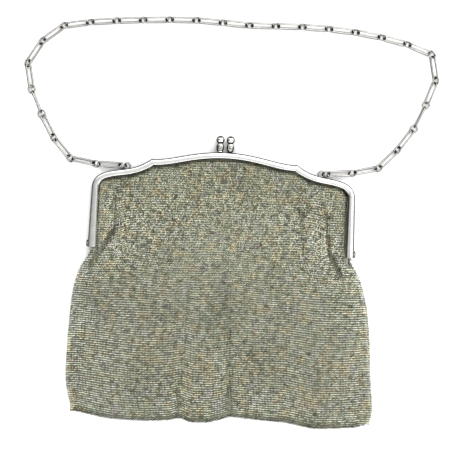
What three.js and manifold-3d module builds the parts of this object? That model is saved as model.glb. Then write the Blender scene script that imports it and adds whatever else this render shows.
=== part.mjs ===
// Metal mesh purse lying on its back: a hinged silver frame in two halves with a kiss clasp,
// a ring-mesh bag hung in the frame, and a chain of long links and round rings.
// Millimetres. +X to the right, +Y from the hinges towards the clasp, +Z up from the back.
// The origin is on the centreline, level with the hinge ends, on the surface it lies on.

import * as THREE from "three";
import { mergeVertices } from "three/addons/utils/BufferGeometryUtils.js";
import Module from "manifold-3d";

const wasm = await Module();
wasm.setup();

// Frame
const HALF_SPAN = 119.5; // centreline to the outside of an arm at its hinge
const FRAME_RISE = 89.6; // hinge ends up to the top of the arch
const FRAME_DEPTH = 11.0; // both halves closed, back face to front face
const HALVES_GAP = 0.3; // between the closed halves
const WALL_SHEET = 0.9; // side wall of the channel
const FACE_SHEET = 1.3; // crowned face, from its crown to its underside
const FACE_DROP = 0.6; // the face's inner lip lies this far under its crown
const BAND_AT_ARCH = 6.0; // width of the face along the arch
const BAND_AT_HINGE = 7.5; // width of the face at the lower ends of the arms
const BAND_WIDENS_BELOW = 60; // height under which the face starts to widen
const BEVEL_IN = 1.2; // bevel of the outer edge, across the face
const BEVEL_DOWN = 1.5; // and down the side wall
const CLEAR = 0.3; // running and seating clearance between pieces
const SOLDER_SHY = 0.15; // how far soldered parts of one half stop short of the other half's plane

// Hinges
const HINGE_UP = 3.2; // hinge axis above the ends of the arms
const EAR_RADIUS = 2.9;
const EAR_SHEET = 0.8;
const RIVET_RADIUS = 0.85;
const RIVET_HEAD_RADIUS = 1.9;
const RIVET_HEAD = 0.8; // thickness of a rivet head
const INNER_EAR_SPARE = 0.1; // more room behind a wall for the inner ears
const HINGE_SIDES = 10;

// Kiss clasp
const BALL_RADIUS = 3.7;
const BALL_OUT = 4.6; // ball centres to the centreline
const STEM_HEIGHT = 8.4; // top of the arch to the underside of a ball's seat
const STEM_RADIUS = 3.2; // at its widest
const STEM_FLAT = 0.62; // depth of a stem as a share of its width
const BALL_SEAT = 0.7; // how far a ball sinks into its stem
const STEM_UP = 0.4; // underside of a stem above the top of the arch

// Eyes that hold the chain
const EYE_ACROSS = 87.5; // eye centres to the centreline
const EYE_RADIUS = 2.65; // to the middle of the wire
const EYE_WIRE = 0.65; // wire radius
const EYE_UP = 3.3; // centre above the surface that the purse lies on

// Bag of ring mesh
const BAG_DROP = 155; // hinge ends down to the lowest part of the hem
const MESH_WALL = 1.2; // thickness of one layer of ring mesh
const TUCK_IN = 3.4; // edge of the mouth, inwards from the frame's outside
const EDGE_ROLL = 0.9; // how far the rolled side edges and hem stand out
const HEM_BACK = 0.45; // underside of the rolled edge above the lying surface
const HEM_TOP = 3.9; // front of the hem above the lying surface
const FREE_WALL = 1.8; // from a free edge to the hollow, across the purse
const FREE_SINK = 1.1; // from a free edge's front to the hollow, down
const UNDER_SHARE = 0.955; // where the back curls under, as a share of the way out from the middle
const FLAT_SHARE = 0.9; // where the back lies flat, likewise
const UNDER_UP = 0.1; // height of the back where it curls under
const BACK_MIDDLE = -0.23; // height of the middle of the back, as a share of BAG_DROP
const FOLD_DEPTH = 1.6;
const FOLD_WIDTH = 4.5; // half width of a fold
const FOLD_ENDS = 0.22; // share of a fold's length over which each end fades
const HELD_FOR = 25; // the frame holds the mesh level over this distance from the mouth's edge

// Chain
const CHAIN_PITCH = 23.9; // from ring to ring
const WIRE_RADIUS = 0.65;
const RING_RADIUS = 3.25; // to the middle of the wire
const LINK_WIDTH = 4.3; // between the middles of a link's long wires
const LINK_CORNER = 1.1; // what a link's cut corners take off each side
const CHAIN_UP = 2.85; // middle of the chain above the surface it lies on
const SEAT_OVERLAP = 0.15; // how far a link's end is fused into a ring
const RING_SEGMENTS = 10;
const WIRE_SIDES = 5;
const LINK_ROLL = 33; // usual roll of a link about the chain's own line, degrees
const RING_LEAN = 66; // a ring is rolled this much less than the links it joins

const MIDDLE = FRAME_DEPTH / 2;
const FACE_UNDER = MIDDLE - FACE_SHEET; // from mid-depth to the underside of a face
const MOUTH_TOP = MIDDLE + FACE_UNDER - CLEAR;
const MOUTH_BACK = MIDDLE - FACE_UNDER + CLEAR;

// Right half of the frame's outline from hinge to arch, one Bezier stretch a row.
// Shares of HALF_SPAN (across) and FRAME_RISE (up): two handles, then the end.
const OUTLINE = [
  { part: "arm", hand1: [0.996, 0.2], hand2: [0.993, 0.4], end: [0.989, 0.603], steps: 1 },
  { part: "corner", hand1: [0.982, 0.72], hand2: [0.912, 0.761], end: [0.785, 0.785], steps: 5 },
  { part: "shoulder", hand1: [0.686, 0.803], hand2: [0.619, 0.83], end: [0.546, 0.905], steps: 4 },
  { part: "arch", hand1: [0.402, 0.895], hand2: [0.251, 1.0], end: [0, 1], steps: 5 },
];

// Columns of the bag's grid. across: share of the width, from the left.
// hem: share of BAG_DROP that the hem hangs down there. dip: share of the front's height over
// the hem's that is lost there, most at the free sides.
const COLUMNS = [
  { across: 0, hem: 0.955, dip: 0.62 },
  { across: 0.025, hem: 0.961, dip: 0.18 },
  { across: 0.065, hem: 0.973, dip: 0 },
  { across: 0.125, hem: 0.987, dip: 0 },
  { across: 0.25, hem: 0.992, dip: 0 },
  { across: 0.33, hem: 0.984, dip: 0 },
  { across: 0.365, hem: 0.966, dip: 0.02 },
  { across: 0.4, hem: 0.99, dip: 0 },
  { across: 0.46, hem: 0.987, dip: 0 },
  { across: 0.505, hem: 0.966, dip: 0 },
  { across: 0.535, hem: 0.947, dip: 0.12 },
  { across: 0.565, hem: 0.95, dip: 0 },
  { across: 0.64, hem: 0.961, dip: 0 },
  { across: 0.72, hem: 0.966, dip: 0 },
  { across: 0.775, hem: 0.982, dip: 0 },
  { across: 0.81, hem: 0.994, dip: 0 },
  { across: 0.845, hem: 0.995, dip: 0 },
  { across: 0.9, hem: 0.99, dip: 0 },
  { across: 0.96, hem: 0.983, dip: 0.12 },
  { across: 1, hem: 0.96, dip: 0.62 },
];

// Rows of the bag above the hinges. down: share of the way from the mouth's edge to the hinges.
// fall: share of the way that the front has sunk from the mouth's edge to the hem.
const ROWS_IN_FRAME = [
  { down: 0, fall: 0 },
  { down: 0.08, fall: 0.03 },
  { down: 0.24, fall: 0.055 },
  { down: 0.5, fall: 0.075 },
  { down: 0.78, fall: 0.095 },
  { down: 1, fall: 0.105 },
];

// Rows below the hinges. down: share of the way from the hinges to the hem.
// left, right: how far the sides swell past the mouth's edge, as shares of HALF_SPAN.
const ROWS_BELOW = [
  { down: 0.03, left: 0.003, right: 0.0, fall: 0.11 },
  { down: 0.075, left: 0.033, right: 0.034, fall: 0.115 },
  { down: 0.14, left: 0.076, right: 0.078, fall: 0.125 },
  { down: 0.22, left: 0.104, right: 0.108, fall: 0.145 },
  { down: 0.32, left: 0.122, right: 0.137, fall: 0.19 },
  { down: 0.48, left: 0.134, right: 0.162, fall: 0.26 },
  { down: 0.68, left: 0.142, right: 0.178, fall: 0.38 },
  { down: 0.8, left: 0.143, right: 0.191, fall: 0.48 },
  { down: 0.9, left: 0.131, right: 0.206, fall: 0.63 },
  { down: 0.965, left: 0.112, right: 0.206, fall: 0.8 },
  { down: 1, left: 0.095, right: 0.185, fall: 1 },
];

// Folds of the front. Ends as shares: across of HALF_SPAN, up of FRAME_RISE or down of BAG_DROP.
// depth and width: shares of FOLD_DEPTH and FOLD_WIDTH.
const FOLDS = [
  { name: "left_fold", from: [-0.828, 0.6], to: [-0.795, 0.03], depth: 0.7, width: 1 },
  { name: "left_crease", from: [-0.79, 0.08], to: [-0.93, -0.17], depth: 1.2, width: 0.9 },
  { name: "right_fold", from: [0.577, 0.64], to: [0.647, -0.1], depth: 0.7, width: 1 },
  { name: "right_pleat", from: [0.72, 0.58], to: [0.802, 0.2], depth: 0.7, width: 1 },
  { name: "right_crease", from: [0.795, 0.27], to: [0.95, -0.08], depth: 1.2, width: 0.9 },
  { name: "centre_crease", from: [0.06, -0.18], to: [0.116, -0.98], depth: 0.6, width: 1.2 },
  { name: "hem_crease", from: [-0.279, -0.74], to: [-0.267, -1.02], depth: 0.5, width: 0.8 },
];

// The chain's line as it lies, from the left eye round to the right one: chosen points.
const CHAIN_ROUTE = [
  { x: -115.8, y: 74.9 },
  { x: -140.7, y: 79.6 },
  { x: -155.4, y: 97.2 },
  { x: -166.8, y: 117.5 },
  { x: -176.1, y: 137.4 },
  { x: -181.6, y: 161.8 },
  { x: -169.9, y: 182.5 },
  { x: -150.9, y: 197.9 },
  { x: -128.0, y: 202.1 },
  { x: -79.0, y: 206.3 },
  { x: -31.3, y: 208.2 },
  { x: 17.2, y: 205.6 },
  { x: 65.6, y: 206.3 },
  { x: 114.3, y: 203.4 },
  { x: 162.4, y: 194.1 },
  { x: 184.9, y: 184.4 },
  { x: 187.7, y: 166.1 },
  { x: 178.9, y: 139.9 },
  { x: 168.6, y: 117.7 },
  { x: 154.9, y: 98.5 },
  { x: 139.2, y: 82.0 },
  { x: 115.6, y: 76.4 },
];

// Links that lie otherwise than the rest. along: share of the chain. roll: degrees.
const TURNED_LINKS = [
  { along: 0, roll: 15 },
  { along: 0.145, roll: 84 },
  { along: 0.855, roll: 84 },
  { along: 1, roll: 15 },
];

const degrees = THREE.MathUtils.degToRad;
const mix = THREE.MathUtils.lerp;
const smooth = (t) => THREE.MathUtils.smoothstep(t, 0, 1);

// Closed surfaces and solids

function geometryOf(points, faces) {
  let volume = 0;
  for (const [a, b, c] of faces) {
    const p = points[a];
    const q = points[b];
    const r = points[c];
    volume += p[0] * (q[1] * r[2] - q[2] * r[1]);
    volume += p[1] * (q[2] * r[0] - q[0] * r[2]);
    volume += p[2] * (q[0] * r[1] - q[1] * r[0]);
  }
  const outward = volume < 0 ? faces.map(([a, b, c]) => [a, c, b]) : faces;
  const geometry = new THREE.BufferGeometry();
  geometry.setAttribute("position", new THREE.Float32BufferAttribute(points.flat(), 3));
  geometry.setIndex(outward.flat());
  return geometry;
}

function solidOf(geometry) {
  const bare = geometry.clone();
  bare.deleteAttribute("normal");
  bare.deleteAttribute("uv");
  const merged = mergeVertices(bare, 1e-4);
  return new wasm.Manifold(
    new wasm.Mesh({
      numProp: 3,
      vertProperties: merged.attributes.position.array,
      triVerts: new Uint32Array(merged.index.array),
    }),
  );
}

function geometryFrom(solid) {
  const mesh = solid.getMesh();
  const geometry = new THREE.BufferGeometry();
  geometry.setAttribute("position", new THREE.BufferAttribute(mesh.vertProperties, 3));
  geometry.setIndex(new THREE.BufferAttribute(mesh.triVerts, 1));
  geometry.computeVertexNormals();
  return geometry;
}

function joined(solids) {
  return solids.reduce((whole, next) => whole.add(next));
}

function box(low, high) {
  const size = high.map((value, axis) => value - low[axis]);
  const middle = high.map((value, axis) => (value + low[axis]) / 2);
  return solidOf(new THREE.BoxGeometry(...size).translate(...middle));
}

// A round bar along X between two places.
function barAlongX(radius, fromX, toX, y, z) {
  const length = Math.abs(toX - fromX);
  const bar = new THREE.CylinderGeometry(radius, radius, length, HINGE_SIDES);
  bar.rotateZ(Math.PI / 2);
  bar.translate((fromX + toX) / 2, y, z);
  return solidOf(bar);
}

// Frame outline

function halfOutline() {
  const points = [new THREE.Vector2(HALF_SPAN, 0)];
  for (const stretch of OUTLINE) {
    const [hand1, hand2, end] = [stretch.hand1, stretch.hand2, stretch.end].map(
      ([across, up]) => new THREE.Vector2(across * HALF_SPAN, up * FRAME_RISE),
    );
    const curve = new THREE.CubicBezierCurve(points.at(-1), hand1, hand2, end);
    points.push(...curve.getPoints(stretch.steps).slice(1));
  }
  return points;
}

// The whole outline from the right hinge over the arch to the left hinge, with inward normals
// that keep an even band at corners.
function frameOutline() {
  const right = halfOutline();
  const left = right.slice(0, -1).reverse();
  const points = [...right, ...left.map((p) => new THREE.Vector2(-p.x, p.y))];
  const turned = points.slice(1).map((p, i) => {
    const along = p.clone().sub(points[i]).normalize();
    return new THREE.Vector2(-along.y, along.x);
  });
  return points.map((point, i) => {
    const before = turned[Math.max(i - 1, 0)];
    const after = turned[Math.min(i, turned.length - 1)];
    const normal = before.clone().add(after).normalize();
    return { point, inward: normal.divideScalar(normal.dot(after)) };
  });
}

const outline = frameOutline();

function bandWidth(y) {
  const share = Math.min(Math.max(1 - y / BAND_WIDENS_BELOW, 0), 1);
  return mix(BAND_AT_ARCH, BAND_AT_HINGE, share);
}

function inset(distance) {
  return outline.map(({ point, inward }) => point.clone().addScaledVector(inward, distance));
}

// One half of the frame: a channel whose section is a side wall and a crowned face.
// side is 1 for the front half and -1 for the back half.
function channelSection(width) {
  const low = HALVES_GAP / 2;
  return [
    [0, low],
    [0, MIDDLE - BEVEL_DOWN],
    [BEVEL_IN, MIDDLE - FACE_DROP / 2],
    [width / 2, MIDDLE],
    [width, MIDDLE - FACE_DROP],
    [width, FACE_UNDER],
    [WALL_SHEET, FACE_UNDER],
    [WALL_SHEET, low],
  ];
}

function channel(side) {
  const points = [];
  const faces = [];
  for (const { point, inward } of outline) {
    for (const [across, deep] of channelSection(bandWidth(point.y))) {
      const at = point.clone().addScaledVector(inward, across);
      points.push([at.x, at.y, MIDDLE + side * deep]);
    }
  }
  const around = channelSection(BAND_AT_ARCH).length;
  for (let s = 0; s + 1 < outline.length; s++) {
    for (let k = 0; k < around; k++) {
      const a = s * around + k;
      const b = s * around + ((k + 1) % around);
      faces.push([a, b, b + around], [a, b + around, a + around]);
    }
  }
  const section = channelSection(BAND_AT_HINGE).map(([x, y]) => new THREE.Vector2(x, y));
  const last = (outline.length - 1) * around;
  for (const [a, b, c] of THREE.ShapeUtils.triangulateShape(section, [])) {
    const turned = THREE.ShapeUtils.isClockWise(section) ? [a, b, c] : [a, c, b];
    faces.push(turned, turned.map((k) => last + k).reverse());
  }
  return solidOf(geometryOf(points, faces));
}

// Hinge ears. The front half's ears lie outside the walls, the back half's inside them.
function ears(side) {
  const outer = side > 0;
  const face = outer ? HALF_SPAN + CLEAR : HALF_SPAN - WALL_SHEET - CLEAR - INNER_EAR_SPARE;
  const far = outer ? face + EAR_SHEET : face - EAR_SHEET;
  const root = HALF_SPAN - WALL_SHEET * 0.6;
  const [lowX, highX] = [Math.min(root, far), Math.max(root, far)];
  const depths = [HALVES_GAP + SOLDER_SHY, EAR_RADIUS].map((deep) => MIDDLE + side * deep);
  const [lowZ, highZ] = [Math.min(...depths), Math.max(...depths)];
  const halfWide = EAR_RADIUS * 0.9;
  return [1, -1].flatMap((hand) => {
    const disc = barAlongX(EAR_RADIUS, hand * face, hand * far, HINGE_UP, MIDDLE);
    const [x0, x1] = [hand * lowX, hand * highX].sort((a, b) => a - b);
    const bridge = box([x0, HINGE_UP - halfWide, lowZ], [x1, HINGE_UP + halfWide, highZ]);
    return [disc, bridge];
  });
}

function rivetHoles(half) {
  const reach = 2 * EAR_SHEET + 4 * CLEAR + WALL_SHEET;
  return [1, -1].reduce((rest, hand) => {
    const x = hand * HALF_SPAN;
    return rest.subtract(barAlongX(RIVET_RADIUS + CLEAR, x - reach, x + reach, HINGE_UP, MIDDLE));
  }, half);
}

function rivetGeometry(hand) {
  const inner = HALF_SPAN - WALL_SHEET - 2 * CLEAR - EAR_SHEET - INNER_EAR_SPARE;
  const outer = HALF_SPAN + 2 * CLEAR + EAR_SHEET;
  const profile = [
    [0, inner - RIVET_HEAD],
    [RIVET_HEAD_RADIUS, inner - RIVET_HEAD / 2],
    [RIVET_HEAD_RADIUS, inner],
    [RIVET_RADIUS, inner],
    [RIVET_RADIUS, outer],
    [RIVET_HEAD_RADIUS, outer],
    [RIVET_HEAD_RADIUS * 0.8, outer + RIVET_HEAD * 0.8],
    [0, outer + RIVET_HEAD],
  ].map(([radius, along]) => new THREE.Vector2(radius, along));
  const rivet = new THREE.LatheGeometry(profile, HINGE_SIDES);
  rivet.rotateZ(-Math.PI / 2);
  if (hand < 0) rivet.rotateY(Math.PI);
  rivet.translate(0, HINGE_UP, MIDDLE);
  return geometryFrom(solidOf(rivet));
}

// A clasp knob: a ball on a flattened baluster stem, with a foot soldered to one half's wall.
function claspKnob(hand, side) {
  const base = FRAME_RISE + STEM_UP;
  const top = FRAME_RISE + STEM_HEIGHT;
  const profile = [
    { up: 0, wide: 0 },
    { up: 0, wide: 0.62 },
    { up: 0.16, wide: 0.7 },
    { up: 0.45, wide: 1 },
    { up: 0.72, wide: 0.92 },
    { up: 0.92, wide: 0.58 },
    { up: 1, wide: 0.6 },
    { up: 1, wide: 0 },
  ].map(({ up, wide }) => new THREE.Vector2(wide * STEM_RADIUS, mix(base, top, up)));
  const stem = new THREE.LatheGeometry(profile, 10);
  stem.scale(1, 1, STEM_FLAT);
  stem.translate(hand * BALL_OUT, 0, MIDDLE);
  const ball = new THREE.SphereGeometry(BALL_RADIUS, 10, 8);
  ball.translate(hand * BALL_OUT, top + BALL_RADIUS - BALL_SEAT, MIDDLE);
  const footHalf = STEM_RADIUS * 0.55;
  const footDepths = [HALVES_GAP + SOLDER_SHY, STEM_RADIUS * STEM_FLAT + 0.4];
  const footZ = footDepths.map((deep) => MIDDLE + side * deep);
  const foot = box(
    [hand * BALL_OUT - footHalf, FRAME_RISE - WALL_SHEET * 0.8, Math.min(...footZ)],
    [hand * BALL_OUT + footHalf, base + STEM_HEIGHT * 0.2, Math.max(...footZ)],
  );
  return joined([solidOf(stem), solidOf(ball), foot]);
}

// Height of the frame's outside over a place across the purse.
function outlineHeight(x, points) {
  for (let i = 1; i < points.length; i++) {
    const [right, left] = [points[i - 1], points[i]];
    if (left.x <= x && x <= right.x && right.x - left.x > 1e-6) {
      return mix(left.y, right.y, (x - left.x) / (right.x - left.x));
    }
  }
  return 0;
}

const outside = inset(0);
const eyeY = outlineHeight(EYE_ACROSS, outside) + EYE_RADIUS + EYE_WIRE * 0.4;

function chainEye(hand) {
  const eye = new THREE.TorusGeometry(EYE_RADIUS, EYE_WIRE, WIRE_SIDES, RING_SEGMENTS);
  eye.rotateZ(Math.PI / 2);
  eye.translate(hand * EYE_ACROSS, eyeY, EYE_UP);
  return solidOf(eye);
}

function frameHalf(side) {
  const bare = joined([channel(side), ...ears(side)]);
  const knob = side > 0 ? claspKnob(-1, side) : claspKnob(1, side);
  const eyes = side < 0 ? [chainEye(1), chainEye(-1)] : [];
  return geometryFrom(joined([rivetHoles(bare), knob, ...eyes]));
}

// Bag

const mouth = inset(TUCK_IN);
const armTop = mouth[1];

function armInset(y) {
  return mix(mouth[0].x, armTop.x, Math.min(y / armTop.y, 1));
}

function foldAt(x, y) {
  let depth = 0;
  for (const fold of FOLDS) {
    const [from, to] = [fold.from, fold.to].map(([across, up]) => {
      return new THREE.Vector2(across * HALF_SPAN, up * (up < 0 ? BAG_DROP : FRAME_RISE));
    });
    const along = to.clone().sub(from);
    const place = new THREE.Vector2(x, y).sub(from);
    const share = place.dot(along) / along.lengthSq();
    const aside = Math.abs(place.cross(along)) / along.length() / (fold.width * FOLD_WIDTH);
    const ends = smooth(share / FOLD_ENDS) * smooth((1 - share) / FOLD_ENDS);
    depth += fold.depth * ends * (1 - aside * aside) * Math.exp(-aside * aside / 1.5);
  }
  return FOLD_DEPTH * depth;
}

// The front of the bag as a grid: rows from the mouth down, each from left to right.
function bagFront() {
  const rows = [];
  for (const row of ROWS_IN_FRAME) {
    rows.push(
      COLUMNS.map(({ across }) => {
        const top = outlineHeight(mix(-armTop.x, armTop.x, across), mouth);
        const y = mix(top, 0, row.down);
        const reach = armInset(y);
        const x = mix(-reach, reach, across);
        const held = smooth(Math.min(reach - Math.abs(x), top - y) / HELD_FOR);
        const z = mix(MOUTH_TOP, HEM_TOP, row.fall * held) - foldAt(x, y) * held;
        return { x, y, z, back: MOUTH_BACK };
      }),
    );
  }
  for (const row of ROWS_BELOW) {
    const left = -mouth[0].x - row.left * HALF_SPAN;
    const right = mouth[0].x + row.right * HALF_SPAN;
    rows.push(
      COLUMNS.map(({ across, hem, dip }) => {
        const x = mix(left, right, across);
        const y = -row.down * hem * BAG_DROP;
        const full = mix(MOUTH_TOP, HEM_TOP, row.fall);
        const dipped = mix(full, HEM_TOP, dip * smooth(row.down / 0.14));
        const z = dipped - foldAt(x, y) * (1 - row.fall ** 2);
        return { x, y, z, back: HEM_BACK };
      }),
    );
  }
  return rows;
}

function meshBag() {
  const front = bagFront();
  const lastRow = front.length - 1;
  const lastColumn = COLUMNS.length - 1;
  const hingeRow = ROWS_IN_FRAME.length - 1;
  const points = [];
  const faces = [];
  const put = (x, y, z) => points.push([x, y, z]) - 1;
  const quad = (a, b, c, d) => faces.push([a, b, c], [a, c, d]);

  // Inside of the front, one wall behind it and set in from the free edges.
  const inside = front.map((row, j) =>
    row.map((p, i) => {
      const free = j > hingeRow ? FREE_WALL : 0;
      const left = row[0].x + free;
      const right = row[lastColumn].x - free;
      const x = Math.min(Math.max(p.x, left), right);
      const y = j === lastRow ? p.y + FREE_WALL : p.y;
      const atEdge = j === lastRow || (j > hingeRow && (i === 0 || i === lastColumn));
      return { x, y, z: p.z - (atEdge ? FREE_SINK : MESH_WALL) };
    }),
  );
  const F = front.map((row) => row.map((p) => put(p.x, p.y, p.z)));
  const f = inside.map((row) => row.map((p) => put(p.x, p.y, p.z)));
  for (let j = 0; j < lastRow; j++) {
    for (let i = 0; i < lastColumn; i++) {
      quad(F[j][i], F[j + 1][i], F[j + 1][i + 1], F[j][i + 1]);
      quad(f[j][i], f[j][i + 1], f[j + 1][i + 1], f[j + 1][i]);
    }
  }

  // The edge of the grid as one loop: down the left side, along the hem, up the right, over the mouth.
  const loop = [];
  for (let j = 0; j < lastRow; j++) loop.push([j, 0]);
  for (let i = 0; i < lastColumn; i++) loop.push([lastRow, i]);
  for (let j = lastRow; j > 0; j--) loop.push([j, lastColumn]);
  for (let i = lastColumn; i > 0; i--) loop.push([0, i]);
  const isFree = ([j]) => j >= hingeRow;
  const centre = new THREE.Vector2(0, BAG_DROP * BACK_MIDDLE);
  const edge = loop.map(([j, i]) => {
    const p = front[j][i];
    const q = inside[j][i];
    const out = new THREE.Vector2(i === 0 ? -1 : i === lastColumn ? 1 : 0, j === lastRow ? -1 : 0);
    out.setLength(EDGE_ROLL);
    const roll = isFree([j]) ? [(p.z + p.back) / 2, (q.z + p.back + MESH_WALL) / 2] : [];
    const shrink = (share) => centre.clone().lerp(new THREE.Vector2(p.x, p.y), share);
    const [under, flat] = [shrink(UNDER_SHARE), shrink(FLAT_SHARE)];
    const lift = p.back === MOUTH_BACK ? MOUTH_BACK : UNDER_UP;
    return {
      F: F[j][i],
      f: f[j][i],
      E: roll.length ? put(p.x + out.x, p.y + out.y, roll[0]) : -1,
      e: roll.length ? put(q.x, q.y, roll[1]) : -1,
      B: put(p.x, p.y, p.back),
      b: put(q.x, q.y, p.back + MESH_WALL),
      U: put(under.x, under.y, lift),
      u: put(under.x, under.y, lift + MESH_WALL),
      C: put(flat.x, flat.y, 0),
      c: put(flat.x, flat.y, MESH_WALL),
      place: flat,
      free: isFree([j]),
    };
  });
  edge.forEach((k, n) => {
    const l = edge[(n + 1) % edge.length];
    if (k.free && l.free) {
      quad(k.F, k.E, l.E, l.F);
      quad(k.E, k.B, l.B, l.E);
      quad(k.f, l.f, l.e, k.e);
      quad(k.e, l.e, l.b, k.b);
    } else {
      quad(k.F, k.f, l.f, l.F);
      quad(k.b, k.B, l.B, l.b);
    }
    if (!k.free && l.free) {
      quad(l.F, l.f, l.e, l.E);
      quad(l.E, l.e, l.b, l.B);
    }
    if (k.free && !l.free) {
      quad(k.F, k.E, k.e, k.f);
      quad(k.E, k.B, k.b, k.e);
    }
    quad(k.B, k.U, l.U, l.B);
    quad(k.U, k.C, l.C, l.U);
    quad(k.b, l.b, l.u, k.u);
    quad(k.u, l.u, l.c, k.c);
  });
  for (const [a, b, c] of THREE.ShapeUtils.triangulateShape(edge.map((k) => k.place), [])) {
    faces.push([edge[a].c, edge[b].c, edge[c].c]);
    faces.push([edge[a].C, edge[c].C, edge[b].C]);
  }
  return geometryFrom(solidOf(geometryOf(points, faces)));
}

// Chain

// Corners of a closed line, counterclockwise, each with the outward normal that mitres its wire.
function mitred(corners) {
  const count = corners.length;
  const turned = corners.map((p, i) => {
    const along = corners[(i + 1) % count].clone().sub(p).normalize();
    return new THREE.Vector2(along.y, -along.x);
  });
  return corners.map((at, i) => {
    const normal = turned[(i + count - 1) % count].clone().add(turned[i]).normalize();
    return { at, out: normal.divideScalar(normal.dot(turned[i])) };
  });
}

// A closed loop of wire in its own plane. Each section has a ridge on the inside of the loop.
function wireLoop(corners) {
  const path = mitred(corners);
  const points = [];
  const faces = [];
  for (const { at, out } of path) {
    for (let k = 0; k < WIRE_SIDES; k++) {
      const turn = (2 * Math.PI * k) / WIRE_SIDES;
      const place = at.clone().addScaledVector(out, -WIRE_RADIUS * Math.cos(turn));
      points.push([place.x, place.y, WIRE_RADIUS * Math.sin(turn)]);
    }
  }
  path.forEach((_, s) => {
    const next = (s + 1) % path.length;
    for (let k = 0; k < WIRE_SIDES; k++) {
      const [a, b] = [s, next].map((n) => n * WIRE_SIDES + k);
      const [c, d] = [s, next].map((n) => n * WIRE_SIDES + ((k + 1) % WIRE_SIDES));
      faces.push([a, b, d], [a, d, c]);
    }
  });
  return solidOf(geometryOf(points, faces));
}

// A link: a rectangle with cut corners, and a point half way along each long wire.
function linkSolid(length) {
  const [long, wide] = [length / 2, LINK_WIDTH / 2];
  const half = [
    [long, -wide + LINK_CORNER],
    [long, wide - LINK_CORNER],
    [long - LINK_CORNER, wide],
    [0, wide],
    [-long + LINK_CORNER, wide],
  ];
  const corners = [...half, ...half.map(([x, y]) => [-x, -y])];
  return wireLoop(corners.map(([x, y]) => new THREE.Vector2(x, y)));
}

// A ring, turned so that the middle of a side faces each link it joins.
function ringSolid() {
  return wireLoop(
    Array.from({ length: RING_SEGMENTS }, (_, k) => {
      const angle = (2 * Math.PI * (k + 0.5)) / RING_SEGMENTS;
      return new THREE.Vector2(Math.cos(angle), Math.sin(angle)).multiplyScalar(RING_RADIUS);
    }),
  );
}

// Ring centres at one spacing along the chosen line, from eye to eye.
function ringCentres() {
  const reach = RING_RADIUS + EYE_RADIUS - 2 * EYE_WIRE - CLEAR;
  const ends = [-1, 1].map((hand) => new THREE.Vector3(hand * (EYE_ACROSS + reach), eyeY, EYE_UP));
  const chosen = CHAIN_ROUTE.map(({ x, y }) => new THREE.Vector3(x, y, CHAIN_UP));
  const curve = new THREE.CatmullRomCurve3([ends[0], ...chosen, ends[1]], false, "centripetal");
  const fine = curve.getPoints(4000);
  const walk = (spacing, count) => {
    const centres = [fine[0]];
    for (const point of fine) {
      if (centres.length <= count && point.distanceTo(centres.at(-1)) >= spacing) centres.push(point);
    }
    return centres;
  };
  const count = Math.max(Math.round(curve.getLength() / CHAIN_PITCH), 2);
  let [low, high] = [0.5 * CHAIN_PITCH, 1.5 * CHAIN_PITCH];
  for (let pass = 0; pass < 30; pass++) {
    const spacing = (low + high) / 2;
    if (walk(spacing, count).length > count) low = spacing;
    else high = spacing;
  }
  const centres = walk(low, count).slice(0, count);
  return [...centres, ends[1]];
}

function placed(solid, at, along, roll) {
  const aside = new THREE.Vector3(0, 0, 1).cross(along).normalize();
  const up = along.clone().cross(aside);
  const turn = degrees(roll);
  const width = aside.clone().multiplyScalar(Math.cos(turn)).addScaledVector(up, Math.sin(turn));
  const normal = along.clone().cross(width);
  const matrix = new THREE.Matrix4().makeBasis(along, width, normal).setPosition(at);
  return solid.transform(matrix.elements);
}

function chain() {
  const centres = ringCentres();
  const links = centres.length - 1;
  const rolls = Array.from({ length: links }, (_, k) => LINK_ROLL + 4 * Math.sin(2.1 * k));
  for (const { along, roll } of TURNED_LINKS) rolls[Math.round(along * (links - 1))] = roll;
  const ringInside = RING_RADIUS * Math.cos(Math.PI / RING_SEGMENTS) - WIRE_RADIUS;
  const pieces = [];
  for (let k = 0; k < links; k++) {
    const span = centres[k + 1].clone().sub(centres[k]);
    const length = span.length() - 2 * (ringInside - WIRE_RADIUS + SEAT_OVERLAP);
    const middle = centres[k].clone().lerp(centres[k + 1], 0.5);
    pieces.push(placed(linkSolid(length), middle, span.normalize(), rolls[k]));
  }
  const ring = ringSolid();
  centres.forEach((centre, k) => {
    const before = centres[Math.max(k - 1, 0)];
    const after = centres[Math.min(k + 1, links)];
    const along = after.clone().sub(before).normalize();
    const roll = (rolls[Math.max(k - 1, 0)] + rolls[Math.min(k, links - 1)]) / 2 - RING_LEAN;
    pieces.push(placed(ring, centre, along, roll));
  });
  return geometryFrom(joined(pieces));
}

// Finishes and assembly

const polished = { color: 0xd3d2cc, roughness: 0.22, metalness: 1 };
const wornMesh = { color: 0x96957f, roughness: 0.45, metalness: 0.9 };
const dullPin = { color: 0x9d9c94, roughness: 0.4, metalness: 1 };

function piece(name, geometry, finish) {
  const mesh = new THREE.Mesh(geometry, new THREE.MeshStandardMaterial(finish));
  mesh.name = name;
  return mesh;
}

const purse = new THREE.Group();
purse.add(piece("frame_front", frameHalf(1), polished));
purse.add(piece("frame_back", frameHalf(-1), polished));
purse.add(piece("hinge_rivet_right", rivetGeometry(1), dullPin));
purse.add(piece("hinge_rivet_left", rivetGeometry(-1), dullPin));
purse.add(piece("mesh_bag", meshBag(), wornMesh));
purse.add(piece("chain", chain(), polished));

export default purse;
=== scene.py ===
"""Metal mesh purse lying on its back on a pale floor, seen from above.

The frame holds the real sizes. Here the frame gets smooth channels and clasp knobs, the bag gets
its skin of interlinked rings, and the chain gets round links and rings. Metres throughout.
"""

import math

import bpy
import numpy as np
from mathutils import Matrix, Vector
from mathutils.bvhtree import BVHTree


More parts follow.
